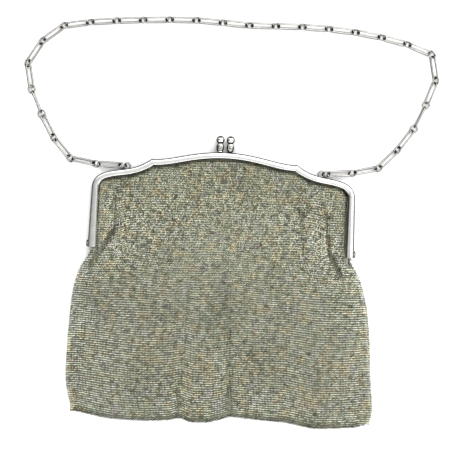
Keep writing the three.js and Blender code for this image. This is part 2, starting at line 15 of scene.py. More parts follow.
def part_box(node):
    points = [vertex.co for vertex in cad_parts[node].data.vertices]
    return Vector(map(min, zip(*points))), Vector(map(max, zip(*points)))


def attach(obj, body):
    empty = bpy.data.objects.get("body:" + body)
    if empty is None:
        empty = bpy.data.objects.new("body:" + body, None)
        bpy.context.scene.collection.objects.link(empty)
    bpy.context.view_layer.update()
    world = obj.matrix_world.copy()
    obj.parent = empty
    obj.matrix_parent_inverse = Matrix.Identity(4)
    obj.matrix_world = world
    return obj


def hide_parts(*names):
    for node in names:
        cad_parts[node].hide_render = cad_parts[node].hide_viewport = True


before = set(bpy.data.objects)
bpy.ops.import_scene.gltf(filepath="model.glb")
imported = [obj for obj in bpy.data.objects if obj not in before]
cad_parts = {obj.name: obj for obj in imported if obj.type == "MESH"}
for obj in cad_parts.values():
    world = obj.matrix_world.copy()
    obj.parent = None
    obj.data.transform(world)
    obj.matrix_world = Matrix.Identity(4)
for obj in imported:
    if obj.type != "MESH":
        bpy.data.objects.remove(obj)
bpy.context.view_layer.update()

MM = 0.001
rng = np.random.default_rng(7)

# The photograph
PICTURE = 450
PIXEL = 0.9 * MM
PURSE_ORIGIN = (220.75, 252.25)  # pixel where the part's origin lies
PURSE_TURN = math.radians(2.5)  # the purse lies turned clockwise in the picture
CAMERA_HEIGHT = 1.0
SENSOR = 36.0  # width of the camera's sensor

# Room. Its brightness along X and along Y is given as (place from -1 to 1, brightness).
ROOM_LIGHT = 1.3
ROOM_ACROSS = [
    (-1.0, 0.3), (-0.85, 0.34), (-0.62, 0.5), (-0.3, 0.8), (-0.1, 1.0),
    (0.1, 1.0), (0.3, 0.75), (0.55, 0.7), (0.8, 1.1), (1.0, 1.2),
]
ROOM_UPDOWN = [
    (-1.0, 0.05), (-0.9, 0.2), (-0.75, 2.2), (-0.5, 2.8), (-0.22, 0.72),
    (0.22, 0.72), (0.5, 2.8), (0.75, 1.9), (0.87, 0.3), (1.0, 0.05),
]
KEY_WATTS = 8
KEY_PLACE = (0.55, 0.5, 1.15)
KEY_SIZE = 1.2
KEY_AIM = (0, 0.03, 0)
FLOOR_HALF = 3.0
FLOOR_TONE = 0.62
FLOOR_UNDER = 0.02 * MM  # the floor's surface lies this far under the purse

# Frame sizes, as in the part
HALF_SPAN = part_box("frame_back")[1].x
FRAME_RISE = 89.6 * MM
FRAME_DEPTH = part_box("frame_front")[1].z
MIDDLE = FRAME_DEPTH / 2
HALVES_GAP = 0.3 * MM
WALL_SHEET = 0.9 * MM
FACE_SHEET = 1.3 * MM
BAND_AT_ARCH = 6.0 * MM
BAND_AT_HINGE = 7.5 * MM
BAND_WIDENS_BELOW = 60 * MM

# The channel's face, from its outer edge inwards. What ends in _ON_ARM is added on the arms.
OUTER_SLOPE = 0.95 * MM
INNER_SLOPE = 1.0 * MM
OUTER_ON_ARM = 0.1 * MM
INNER_ON_ARM = 0.3 * MM
BRIGHT_STRIP = 0.6 * MM  # width of the bright strip along the outer edge
CROWN_AT = 0.47  # where the face is highest, as a share of its width
OUTER_DROP = 0.3 * MM  # how far under the crown the outer slope starts,
STRIP_DROP = 0.1 * MM  # the bright strip ends,
INNER_DROP = 0.15 * MM  # the inner slope starts,
LIP_DROP = 0.2 * MM  # and, with most of the inner slope, the inner lip lies
SHADE_FROM = 1.0 * MM  # the arms' painted shade starts this far past the bright strip's width
# how far each arm's face is painted darker, as shade: the right arm more than the left
ARM_SHADE_LEFT = 0.38
ARM_SHADE_RIGHT = 0.45

# Hinges
HINGE_UP = 3.2 * MM
# how far the hinge ears and the chain's eyes are darkened
HINGE_DARK = 0.8
EAR_RADIUS = 2.9 * MM
EAR_SHEET = 0.8 * MM
CLEAR = 0.3 * MM
INNER_EAR_SPARE = 0.1 * MM
RIVET_RADIUS = 0.85 * MM
RIVET_HEAD_RADIUS = 1.9 * MM
RIVET_HEAD = 0.8 * MM

# Kiss clasp
BALL_RADIUS = 3.7 * MM
BALL_OUT = 4.6 * MM
STEM_HEIGHT = 8.4 * MM
STEM_RADIUS = 3.2 * MM
STEM_FLAT = 0.62
STEM_UP = 0.4 * MM
BALL_SEAT = 0.7 * MM
STEM_FOOT = 0.55  # half width of a stem's foot, as a share of STEM_RADIUS
SCROLL_WIRE = 0.42 * MM
SCROLL_WIDE = 2.3 * MM
SCROLL_TIGHT = 0.5 * MM
SCROLL_TURNS = 1.25
SCROLL_UP = 0.47  # the scroll's middle, as a share of the stem's height
# A stem's outline: share of its radius, share of its height.
STEM_SHAPE = [
    (0, 0), (0.66, 0), (0.78, 0.1), (0.98, 0.26), (1.08, 0.48), (1.04, 0.7), (0.88, 0.88),
    (0.74, 1.0), (0, 1.0),
]
STEM_SHADE = 0.75  # how far a stem is painted darker, as the shade among its scrollwork

# Eyes and chain
EYE_ACROSS = 87.5 * MM
EYE_RADIUS = 2.65 * MM
EYE_WIRE = 0.65 * MM
EYE_UP = 3.3 * MM
CHAIN_PITCH = 23.9 * MM  # from ring to ring
WIRE_RADIUS = 0.65 * MM  # of the rings' wire
LINK_WIRE = 0.78 * MM  # radius of the links' wire
RING_RADIUS = 3.25 * MM
LINK_WIDTH = 4.3 * MM
LINK_BEND = 1.5 * MM  # radius of a link's corners
CHAIN_UP = 2.85 * MM
LINK_ROLL = 33  # how far links are rolled about the chain's line, in degrees
LINK_SWAY = 4  # and how much that changes from link to link
RING_LEAN = 66  # a ring is rolled this much less than the links that it joins

# Ring mesh of the bag
MESH_RING = 1.0 * MM  # ring radius to the middle of its wire
MESH_WIRE = 0.24 * MM  # wire radius
MESH_PITCH = 2.5 * MM  # from ring to ring along a row, where the mesh hangs free
MESH_ROW = 1.05 * MM  # from row to row
CALM_LEAN = math.radians(50)  # rings lean this much, up in one row and down in the next
LOOSE_LEAN = math.radians(34)  # and this much where the mesh is ruffled, in the frame
CALM_FROM = 20 * MM  # the mesh grows calm from this height down,
CALM_OVER = 60 * MM  # over this distance
NEAT_FROM = 0.81  # past this share of HALF_SPAN, beside the arms, rows stay neat
NEAT_ABOVE = 12 * MM
ROW_DRIFT = 0.5 * MM  # how far rows wander up and down
MESH_UNDER = 0.85 * MM  # ring centres under the bag's surface
TUCK_DIP = 3.2 * MM  # how much deeper the mesh lies right beside the frame
TUCK_REACH = 2.1 * MM
ABOVE_BAG = 50 * MM  # rays that look down for the bag start at this height
WIDEST_AT = -60 * MM
FREE_BELOW = -2 * MM  # the bag's sides are free of the frame from here down
FIRST_ROW = 0.4 * MM  # the first row's distance from the bag's upper end
RING_BENDS = 6
RING_SIDES = 3
MESH_BANDS = 5
WRAP = 2  # rings past each free side and rows past the hem, round the rolled edge
EDGE_ROLL = 0.9 * MM
HEM_BACK = 0.45 * MM

# Brightness of the mesh's rings
RING_SPREAD = 0.4  # how much rings differ in brightness, one from the next
CLUMP_SPREAD = 0.3  # and how much small groups of them do
PARITY_LIGHTING = 0.36  # and how much lighter rows that lean up are painted than rows that lean down, as light falls on them
DARKEST_RING = 0.15
BRIGHTEST_RING = 1.3
DEEP_TARNISH_AND_SHADE = 0.28  # wire deep in the weave has this share of its brightness: partly tarnish, partly painted shade
RUBBED_FROM = 0.1  # a ring's wire grows bright from this height over its middle,
RUBBED_OVER = 0.5  # over this much more, both as shares of MESH_RING
TUCK_SHADE = 0.8  # how much darker the mesh is painted right beside the frame, as the shade under its edge,
CREASE_SHADE = 0.8  # and in the creases, as their shade
CREASE_FULL = 1.8 * MM  # a crease this deep is as dark as they get
HEM_SHADE = 0.62  # how much darker the mesh is painted where it turns under at the hem, as shade
HEM_ROWS = 6
ARCH_DARK = 0.13  # how much darker the mesh is where it hangs from the arch
SIDE_BRIGHT = 0.1  # and how much brighter along the free sides
SIDE_SHADE = 0.7  # share of its brightness that mesh keeps where it goes round a side, the rest painted shade

# Skin behind the rings
SHELL_IN = 3.3 * MM  # the skin behind the rings lies this far under the bag's surface
SHELL_EDGE_IN = 1.6 * MM  # and this far inside its edges
SHELL_SHARE = 0.4  # but never deeper than this share of its height
BAG_MIDDLE = -35 * MM
SHELL_SHADE_COLOR = (0.38, 0.38, 0.31)  # the skin where it is seen through the rings, painted as the shaded back wall of rings

# Right half of the frame's outline: Bezier stretches, shares of HALF_SPAN and FRAME_RISE.
OUTLINE = [
    {"hand1": (0.996, 0.2), "hand2": (0.993, 0.4), "end": (0.989, 0.603), "steps": 10},
    {"hand1": (0.982, 0.72), "hand2": (0.912, 0.761), "end": (0.785, 0.785), "steps": 24},
    {"hand1": (0.686, 0.803), "hand2": (0.619, 0.83), "end": (0.546, 0.905), "steps": 14},
    {"hand1": (0.402, 0.895), "hand2": (0.251, 1.0), "end": (0.0, 1.0), "steps": 24},
]

# Sharp creases that the ring mesh shows. Their ends are shares of HALF_SPAN across and
# millimetres up; depths and widths are millimetres.
CREASES = [
    {"from": (-0.785, 20), "to": (-0.985, -18), "depth": 2.2, "width": 2.1},
    {"from": (-0.815, 52), "to": (-0.80, 8), "depth": 0.9, "width": 1.5},
    {"from": (0.77, 46), "to": (0.822, -2), "depth": 1.2, "width": 1.6},
    {"from": (0.805, 6), "to": (0.93, -22), "depth": 2.2, "width": 2.1},
    {"from": (0.575, 50), "to": (0.64, -12), "depth": 0.8, "width": 2.4},
    {"from": (0.105, -110), "to": (0.12, -152), "depth": 1.2, "width": 2.4},
    {"from": (0.06, -20), "to": (0.105, -118), "depth": 0.5, "width": 2.6},
    {"from": (-0.285, -118), "to": (-0.265, -154), "depth": 0.8, "width": 2.2},
]

# Where rows of rings are drawn down beside a crease. at is a share of HALF_SPAN, side is the way
# in which the pull reaches, and the rest is in millimetres.
PULLS = [
    {"at": -0.808, "side": 1, "low": -8, "high": 58, "drop": 9.0, "reach": 7},
    {"at": 0.79, "side": -1, "low": -4, "high": 58, "drop": 7.5, "reach": 6},
]

# The chain's line as it lies, in millimetres: the same chosen points as in the part.
CHAIN_ROUTE = [
    (-115.8, 74.9), (-140.7, 79.6), (-155.4, 97.2), (-166.8, 117.5), (-176.1, 137.4),
    (-181.6, 161.8), (-169.9, 182.5), (-150.9, 197.9), (-128.0, 202.1), (-79.0, 206.3),
    (-31.3, 208.2), (17.2, 205.6), (65.6, 206.3), (114.3, 203.4), (162.4, 194.1),
    (184.9, 184.4), (187.7, 166.1), (178.9, 139.9), (168.6, 117.7), (154.9, 98.5),
    (139.2, 82.0), (115.6, 76.4),
]
TURNED_LINKS = [(0, 15), (0.145, 84), (0.855, 84), (1, 15)]  # share of the chain, roll


# Meshes

def make_piece(name, verts, faces, material, replaces=()):
    """A smooth piece of the purse from arrays of points and of four-sided or three-sided faces."""
    mesh = bpy.data.meshes.new(name)
    mesh.from_pydata(np.asarray(verts, float).tolist(), [], faces)
    mesh.validate()
    mesh.polygons.foreach_set("use_smooth", [True] * len(mesh.polygons))
    mesh.materials.append(material)
    piece = bpy.data.objects.new(name, mesh)
    bpy.context.scene.collection.objects.link(piece)
    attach(piece, "root")
    if replaces:
        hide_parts(*replaces)
    return piece


def join(parts):
    """Several (points, faces) pairs as one."""
    verts, faces, start = [], [], 0
    for points, polygons in parts:
        points = np.asarray(points, float)
        verts.append(points)
        faces.extend([tuple(i + start for i in face) for face in polygons])
        start += len(points)
    return np.concatenate(verts), faces


def unit(vectors):
    """Each vector at length 1."""
    return vectors / np.linalg.norm(vectors, axis=-1, keepdims=True)


def ring_faces(sections, around, closed):
    """Faces of a tube whose points run section by section."""
    faces = []
    for s in range(sections if closed else sections - 1):
        t = (s + 1) % sections
        for k in range(around):
            m = (k + 1) % around
            faces.append((s * around + k, t * around + k, t * around + m, s * around + m))
    return faces


def wire(path, radius, sides=10, closed=True, taper=None):
    """A round wire along a path of points. An open wire gets flat ends."""
    path = np.asarray(path, float)
    if closed:
        along = unit(np.roll(path, -1, axis=0) - np.roll(path, 1, axis=0))
    else:
        along = unit(np.gradient(path, axis=0))
    aside = np.zeros_like(path)
    flat = np.cross(path[1] - path[0], path[2] - path[1])
    if np.linalg.norm(flat) < 1e-12:
        flat = np.array([0.0, 0.0, 1.0])
    square = np.cross(flat, along[0])
    previous = unit(square) if np.linalg.norm(square) > 0 else flat
    for i, direction in enumerate(along):
        previous = unit(previous - direction * previous.dot(direction))
        aside[i] = previous
    up = np.cross(along, aside)
    turn = 2 * np.pi * np.arange(sides) / sides
    radii = radius * (np.ones(len(path)) if taper is None else np.asarray(taper))
    ring = aside[:, None] * np.cos(turn)[None, :, None] + up[:, None] * np.sin(turn)[None, :, None]
    points = path[:, None] + radii[:, None, None] * ring
    faces = ring_faces(len(path), sides, closed)
    if not closed:
        faces.append(tuple(range(sides))[::-1])
        faces.append(tuple((len(path) - 1) * sides + k for k in range(sides)))
    return points.reshape(-1, 3), faces


def lathe(profile, sides):
    """A body turned about Y from (radius, height) pairs that start and end on the axis."""
    inner = profile[1:-1]
    turn = 2 * np.pi * np.arange(sides) / sides
    points = [[0, profile[0][1], 0]]
    for radius, height in inner:
        for angle in turn:
            points.append([radius * math.sin(angle), height, radius * math.cos(angle)])
    points.append([0, profile[-1][1], 0])
    faces = []
    for k in range(sides):
        m = (k + 1) % sides
        faces.append((0, 1 + m, 1 + k))
        last = 1 + (len(inner) - 1) * sides
        faces.append((len(points) - 1, last + k, last + m))
        for s in range(len(inner) - 1):
            a = 1 + s * sides
            faces.append((a + k, a + m, a + sides + m, a + sides + k))
    return np.array(points), faces


def moved(part, offset, scale=(1, 1, 1)):
    """A (points, faces) pair, stretched and then moved."""
    points, faces = part
    return points * np.array(scale) + np.array(offset), faces


def rounded(profile, radius=0.2 * MM, steps=4):
    """A profile with each inner corner rounded by a short curve, at most this far along its sides."""
    profile = [np.array(p, float) for p in profile]
    out = [profile[0]]
    for before, corner, after in zip(profile, profile[1:], profile[2:]):
        start = corner + (before - corner) * min(0.45, radius / max(np.linalg.norm(before - corner), 1e-9))
        end = corner + (after - corner) * min(0.45, radius / max(np.linalg.norm(after - corner), 1e-9))
        for t in np.linspace(0, 1, steps):
            out.append((1 - t) ** 2 * start + 2 * t * (1 - t) * corner + t * t * end)
    out.append(profile[-1])
    return out


# Finishes

def effect(name, inputs, outputs):
    """An empty node group with named inputs and outputs, and its two end nodes."""
    tree = bpy.data.node_groups.new(name, "ShaderNodeTree")
    kinds = {"value": "NodeSocketFloat", "color": "NodeSocketColor"}
    for label, kind, value in inputs:
        socket = tree.interface.new_socket(label, in_out="INPUT", socket_type=kinds[kind])
        socket.default_value = value
    for label, kind in outputs:
        tree.interface.new_socket(label, in_out="OUTPUT", socket_type=kinds[kind])
    return tree, tree.nodes.new("NodeGroupInput"), tree.nodes.new("NodeGroupOutput")


def math_node(tree, operation, a, b=None, c=None, clamp=False):
    """One sum in a node tree. Each of a, b and c is a number or an output socket."""
    node = tree.nodes.new("ShaderNodeMath")
    node.operation = operation
    node.use_clamp = clamp
    for place, value in enumerate((a, b, c)):
        if value is None:
            continue
        if isinstance(value, (int, float)):
            node.inputs[place].default_value = value
        else:
            tree.links.new(value, node.inputs[place])
    return node.outputs[0]


def noise_node(tree, scale, detail=2.0, rough=0.5, stretch=None):
    """Noise over the object's own space, finer with scale, in repeats a metre."""
    place = tree.nodes.new("ShaderNodeTexCoord").outputs["Object"]
    if stretch is not None:
        mapping = tree.nodes.new("ShaderNodeMapping")
        mapping.inputs["Scale"].default_value = stretch
        tree.links.new(place, mapping.inputs["Vector"])
        place = mapping.outputs["Vector"]
    noise = tree.nodes.new("ShaderNodeTexNoise")
    noise.inputs["Detail"].default_value = detail
    noise.inputs["Roughness"].default_value = rough
    tree.links.new(place, noise.inputs["Vector"])
    if isinstance(scale, (int, float)):
        noise.inputs["Scale"].default_value = scale
    else:
        tree.links.new(scale, noise.inputs["Scale"])
    return noise.outputs["Fac"]


def ramp_value(tree, value, low, high):
    """A soft step from 0 to 1 between two limits."""
    node = tree.nodes.new("ShaderNodeMapRange")
    node.interpolation_type = "SMOOTHSTEP"
    node.inputs["From Min"].default_value = low
    node.inputs["From Max"].default_value = high
    tree.links.new(value, node.inputs["Value"])
    return node.outputs["Result"]


def mix_color(tree, share, a, b, blend="MIX"):
    """Two colours mixed. Each of share, a and b is a value or an output socket."""
    node = tree.nodes.new("ShaderNodeMix")
    node.data_type = "RGBA"
    node.blend_type = blend
    sockets = [s for s in node.inputs if s.type == "RGBA"]
    for value, socket in ((share, node.inputs["Factor"]), (a, sockets[0]), (b, sockets[1])):
        if isinstance(value, bpy.types.NodeSocket):
            tree.links.new(value, socket)
        else:
            socket.default_value = value
    return next(s for s in node.outputs if s.type == "RGBA")


def tarnish_effect():
    """Silver that has darkened in patches, and more in small specks."""
    tree, given, result = effect(
        "tarnish",
        [("Clean", "color", (0.9, 0.9, 0.87, 1)), ("Tarnished", "color", (0.5, 0.46, 0.38, 1)),
         ("Patches", "value", 60.0), ("Specks", "value", 900.0), ("Amount", "value", 0.5)],
        [("Color", "color")])
    patches = ramp_value(tree, noise_node(tree, given.outputs["Patches"], 3.0, 0.6), 0.42, 0.72)
    specks = ramp_value(tree, noise_node(tree, given.outputs["Specks"], 2.0, 0.6), 0.5, 0.75)
    both = math_node(tree, "MAXIMUM", patches, math_node(tree, "MULTIPLY", specks, 0.6))
    mask = math_node(tree, "MULTIPLY", both, given.outputs["Amount"], clamp=True)
    color = mix_color(tree, mask, given.outputs["Clean"], given.outputs["Tarnished"])
    tree.links.new(color, result.inputs["Color"])
    return tree


def handling_effect():
    """Roughness and fine relief of metal that has been handled: smudges, hairlines and dings."""
    tree, given, result = effect(
        "handling",
        [("Polish", "value", 0.2), ("Smudge", "value", 0.15), ("Hairlines", "value", 1500.0)],
        [("Roughness", "value"), ("Height", "value")])
    smudge = ramp_value(tree, noise_node(tree, 140.0, 4.0, 0.6), 0.35, 0.7)
    lines = noise_node(tree, given.outputs["Hairlines"], 2.0, 0.6, stretch=(1.0, 0.12, 1.0))
    dings = noise_node(tree, 260.0, 2.0, 0.5)
    rough = math_node(tree, "MULTIPLY_ADD", smudge, given.outputs["Smudge"], given.outputs["Polish"])
    rough = math_node(tree, "MULTIPLY_ADD", lines, 0.06, rough)
    height = math_node(tree, "MULTIPLY_ADD", lines, 0.25, dings)
    tree.links.new(rough, result.inputs["Roughness"])
    tree.links.new(height, result.inputs["Height"])
    return tree


def ring_relief_effect():
    """Relief of interlinked rings on the bag's back: two sets of leaning ovals, row between row."""
    tree, given, result = effect(
        "ring_relief",
        [("Pitch", "value", MESH_PITCH), ("Row", "value", MESH_ROW), ("Wire", "value", 0.36)],
        [("Height", "value"), ("Gap", "value")])
    place = tree.nodes.new("ShaderNodeSeparateXYZ")
    tree.links.new(tree.nodes.new("ShaderNodeTexCoord").outputs["Object"], place.inputs[0])
    highest = None
    for parity in (0, 1):
        x = math_node(tree, "DIVIDE", place.outputs["X"], given.outputs["Pitch"])
        x = math_node(tree, "ADD", x, 0.5 * parity)
        x = math_node(tree, "SUBTRACT", math_node(tree, "FRACT", x), 0.5)
        y = math_node(tree, "DIVIDE", place.outputs["Y"], given.outputs["Row"])
        y = math_node(tree, "MULTIPLY_ADD", y, 0.5, 0.5 * parity)
        y = math_node(tree, "SUBTRACT", math_node(tree, "FRACT", y), 0.5)
        oval = math_node(tree, "SQRT", math_node(
            tree, "ADD", math_node(tree, "POWER", math_node(tree, "MULTIPLY", x, 2.3), 2.0),
            math_node(tree, "POWER", math_node(tree, "MULTIPLY", y, 2.1), 2.0)))
        off = math_node(tree, "ABSOLUTE", math_node(tree, "SUBTRACT", oval, 1.0))
        rise = math_node(tree, "DIVIDE", off, given.outputs["Wire"])
        rise = math_node(tree, "SUBTRACT", 1.0, rise, clamp=True)
        rise = math_node(tree, "SQRT", rise)
        lean = math_node(tree, "MULTIPLY_ADD", y, 0.8 if parity else -0.8, 1.0)
        height = math_node(tree, "MULTIPLY", rise, lean)
        highest = height if highest is None else math_node(tree, "MAXIMUM", highest, height)
    gap = math_node(tree, "SUBTRACT", 1.0, highest, clamp=True)
    tree.links.new(highest, result.inputs["Height"])
    tree.links.new(gap, result.inputs["Gap"])
    return tree


TARNISH = tarnish_effect()
HANDLING = handling_effect()
RING_RELIEF = ring_relief_effect()


def placed_effect(tree, group, **values):
    """A shared effect placed in one material, with that material's own values."""
    node = tree.nodes.new("ShaderNodeGroup")
    node.node_tree = group
    for label, value in values.items():
        node.inputs[label].default_value = value
    return node


def metal(name):
    """A new metal with its Principled shader, ready for its effects."""
    material = bpy.data.materials.new(name)
    material.use_nodes = True
    shader = next(n for n in material.node_tree.nodes if n.type == "BSDF_PRINCIPLED")
    shader.inputs["Metallic"].default_value = 1.0
    shader.inputs["Roughness"].default_value = 0.25
    return material, material.node_tree, shader


def bump(tree, shader, height, strength, distance):
    """Fine relief of the shader's surface from a height."""
    node = tree.nodes.new("ShaderNodeBump")
    node.inputs["Strength"].default_value = strength
    node.inputs["Distance"].default_value = distance
    tree.links.new(height, node.inputs["Height"])
    tree.links.new(node.outputs["Normal"], shader.inputs["Normal"])


ARM_SHADE_COLOR = (0.24, 0.232, 0.218)  # painted shade: the darker colour that the frame's arms are painted towards, and that the hinge ears and the chain's eyes are darkened towards
DARK_RIM_COLOR = (0.05, 0.05, 0.045)  # and the colour of the painted dark reflection at rims


def painted_dark_rims(tree, color, rim):
    """Painted dark reflection: metal darker where a surface turns away from sight, as thin wires and edges
    show on white.
    """
    start, end, depth = rim
    facing = tree.nodes.new("ShaderNodeLayerWeight")
    facing.inputs["Blend"].default_value = 0.5
    share = ramp_value(tree, facing.outputs["Facing"], start, end)
    share = math_node(tree, "MULTIPLY", share, depth)
    return mix_color(tree, share, color, (*DARK_RIM_COLOR, 1))


def silver(name, clean, tarnished, amount, polish, smudge, rim, patches=45.0, darkening_to=ARM_SHADE_COLOR):
    """Polished silver with its own share of tarnish and handling, with a painted dark reflection towards its
    rims, and darkened where a piece marks it: painted shade on the frame's arms and the clasp stems.
    """
    material, tree, shader = metal(name)
    shader.inputs["Specular Tint"].default_value = (0.3, 0.3, 0.29, 1)
    stain = placed_effect(tree, TARNISH, Clean=(*clean, 1), Tarnished=(*tarnished, 1), Patches=patches,
                          Specks=700.0, Amount=amount)
    wear = placed_effect(tree, HANDLING, Polish=polish, Smudge=smudge, Hairlines=1500.0)
    # darkened where a piece marks it: painted shade on the frame's arms and the clasp stems
    darkening = tree.nodes.new("ShaderNodeAttribute")
    darkening.attribute_name = "darkening"
    color = mix_color(tree, darkening.outputs["Fac"], stain.outputs["Color"], (*darkening_to, 1))
    # painted dark reflection towards the rims
    color = painted_dark_rims(tree, color, rim)
    tree.links.new(color, shader.inputs["Base Color"])
    tree.links.new(wear.outputs["Roughness"], shader.inputs["Roughness"])
    bump(tree, shader, wear.outputs["Height"], 0.1, 0.05 * MM)
    return material


def ring_silver():
    """Wire of the mesh: tarnished warm grey, each ring a little different, with cool and warm drifts, and
    with the painted light and shade that each ring's tone carries.
    """
    material, tree, shader = metal("ring_mesh_silver")
    shader.inputs["Specular Tint"].default_value = (0.4, 0.4, 0.36, 1)
    stain = placed_effect(tree, TARNISH, Clean=(0.97, 0.965, 0.825, 1), Tarnished=(0.7, 0.69, 0.56, 1),
                          Patches=55.0, Specks=420.0, Amount=0.5)
    tone = tree.nodes.new("ShaderNodeAttribute")
    tone.attribute_name = "ring_tone_and_shade"
    drift = tree.nodes.new("ShaderNodeValToRGB")
    steps = [(0.34, (1.1, 0.97, 0.8)), (0.46, (1.0, 1.0, 0.93)),
             (0.56, (0.92, 1.03, 0.97)), (0.66, (1.02, 0.96, 1.1))]
    while len(drift.color_ramp.elements) < len(steps):
        drift.color_ramp.elements.new(0.5)
    for element, (place, value) in zip(drift.color_ramp.elements, steps):
        element.position = place
        element.color = (*value, 1)
    tree.links.new(noise_node(tree, 110.0, 2.0, 0.6), drift.inputs["Fac"])
    color = mix_color(tree, 1.0, stain.outputs["Color"], drift.outputs["Color"], "MULTIPLY")
    shade = tree.nodes.new("ShaderNodeCombineColor")
    for socket in shade.inputs:
        if socket.type == "VALUE":
            tree.links.new(tone.outputs["Fac"], socket)
    color = mix_color(tree, 1.0, color, shade.outputs[0], "MULTIPLY")
    wear = placed_effect(tree, HANDLING, Polish=0.28, Smudge=0.12, Hairlines=2500.0)
    tree.links.new(color, shader.inputs["Base Color"])
    tree.links.new(wear.outputs["Roughness"], shader.inputs["Roughness"])
    bump(tree, shader, wear.outputs["Height"], 0.1, 0.03 * MM)
    return material


def mesh_shell_silver():
    """Skin behind the rings: painted as the shaded back wall where they cover it, with their relief at the
    bag's back and its gaps painted near black as shade.
    """
    material, tree, shader = metal("mesh_back_silver")
    stain = placed_effect(tree, TARNISH, Clean=(0.5, 0.5, 0.42, 1), Tarnished=(0.27, 0.26, 0.2, 1),
                          Patches=35.0, Specks=420.0, Amount=0.8)
    relief = placed_effect(tree, RING_RELIEF, Pitch=MESH_PITCH, Row=MESH_ROW, Wire=0.4)
    # gaps of the relief painted near black, as shade
    color = mix_color(tree, relief.outputs["Gap"], stain.outputs["Color"], (0.03, 0.03, 0.025, 1))
    behind = tree.nodes.new("ShaderNodeAttribute")
    behind.attribute_name = "behind_rings"
    # where rings cover it, the skin is painted as the shaded back wall seen through them
    color = mix_color(tree, behind.outputs["Fac"], color, (*SHELL_SHADE_COLOR, 1))
    wear = placed_effect(tree, HANDLING, Polish=0.36, Smudge=0.14, Hairlines=2500.0)
    tree.links.new(color, shader.inputs["Base Color"])
    tree.links.new(wear.outputs["Roughness"], shader.inputs["Roughness"])
    bump(tree, shader, relief.outputs["Height"], 0.9, 0.5 * MM)
    return material


FRAME_SILVER = silver(
    "frame_polished_silver", clean=(0.56, 0.558, 0.55), tarnished=(0.48, 0.465, 0.43),
    amount=0.35, polish=0.12, smudge=0.1, rim=(0.05, 0.22, 0.75))
CLASP_SILVER = silver(
    "clasp_polished_silver", clean=(0.46, 0.457, 0.45), tarnished=(0.36, 0.33, 0.28),
    amount=0.4, polish=0.08, smudge=0.06, rim=(0.2, 0.5, 0.9), patches=160.0,
    # near black: the colour of the stems' painted shade
    darkening_to=(0.13, 0.122, 0.108))
CHAIN_SILVER = silver(
    "chain_polished_silver", clean=(0.33, 0.328, 0.318), tarnished=(0.5, 0.47, 0.4),
    amount=0.45, polish=0.15, smudge=0.1, rim=(0.0, 0.24, 0.95), patches=150.0)
RIVET_SILVER = silver(
    "rivet_dull_silver", clean=(0.7, 0.69, 0.66), tarnished=(0.36, 0.33, 0.28),
    amount=0.6, polish=0.34, smudge=0.12, rim=(0.35, 0.85, 0.6), patches=300.0)
RING_SILVER = ring_silver()
SHELL_SILVER = mesh_shell_silver()


# Frame

def half_outline():
    """Points of the right half of the frame's outline, from the hinge up to the arch's middle."""
    points = [np.array([HALF_SPAN, 0.0])]
    for stretch in OUTLINE:
        a = points[-1]
        b, c, d = (np.array(stretch[k]) * (HALF_SPAN, FRAME_RISE) for k in ("hand1", "hand2", "end"))
        for t in np.linspace(0, 1, stretch["steps"] + 1)[1:]:
            points.append((1 - t) ** 3 * a + 3 * t * (1 - t) ** 2 * b + 3 * t * t * (1 - t) * c + t ** 3 * d)
    return points


def frame_outline():
    """Points of the whole outline from the right hinge to the left, and their inward directions."""
    right = half_outline()
    points = np.array(right + [p * (-1, 1) for p in right[-2::-1]])
    along = unit(np.diff(points, axis=0))
    turned = np.stack([-along[:, 1], along[:, 0]], axis=1)
    before = turned[np.maximum(np.arange(len(points)) - 1, 0)]
    after = turned[np.minimum(np.arange(len(points)), len(turned) - 1)]
    normal = unit(before + after)
    return points, normal / (normal * after).sum(axis=1, keepdims=True)


OUTLINE_POINTS, OUTLINE_IN = frame_outline()


def band_width(y):
    """Width of the frame's face at a height: wider down the arms."""
    return BAND_AT_ARCH + (BAND_AT_HINGE - BAND_AT_ARCH) * np.clip(1 - y / BAND_WIDENS_BELOW, 0, 1)


def channel_section(width, arm):
    """Section of one half's channel: across from the outside, and out from mid-depth.

    The arms (arm 1) have wider slopes at both edges than the arch (arm 0).
    """
    low = HALVES_GAP / 2
    under = MIDDLE - FACE_SHEET
    outer = OUTER_SLOPE + OUTER_ON_ARM * arm
    inner = INNER_SLOPE + INNER_ON_ARM * arm
    outside = [
        (0, low),
        (0, MIDDLE - OUTER_DROP - outer),
        (outer, MIDDLE - OUTER_DROP),
        (outer + BRIGHT_STRIP, MIDDLE - STRIP_DROP),
        (width * CROWN_AT, MIDDLE),
        (width - inner, MIDDLE - INNER_DROP),
        (width, MIDDLE - LIP_DROP - 0.75 * inner),
        (width, under),
    ]
    return rounded(outside) + [np.array(p) for p in ((WALL_SHEET, under), (WALL_SHEET, low))]


def channel(side):
    """One half's channel, and how far its metal is painted darker at each point, as shade: the arms' faces
    most.
    """
    around = len(channel_section(BAND_AT_ARCH, 0.0))
    points, darkness = [], []
    for place, inward in zip(OUTLINE_POINTS, OUTLINE_IN):
        arm = min(abs(inward[0]), 1.0) ** 2
        on_arm = arm * (ARM_SHADE_RIGHT if place[0] > 0 else ARM_SHADE_LEFT)
        for across, deep in channel_section(float(band_width(place[1])), arm):
            x, y = place + inward * across
            points.append((x, y, MIDDLE + side * deep))
            # the arms' faces past the bright strip get painted shade
            darkness.append(on_arm if across > SHADE_FROM + OUTER_ON_ARM * arm + BRIGHT_STRIP else 0.0)
    faces = ring_faces(len(OUTLINE_POINTS), around, False)
    for start, order in ((0, -1), (len(points) - around, 1)):
        faces.append(tuple(range(len(points), len(points) + around))[::order])
        points += points[start:start + around]
        darkness += darkness[start:start + around]
    if side > 0:
        faces = [face[::-1] for face in faces]
    return (np.array(points), faces), darkness


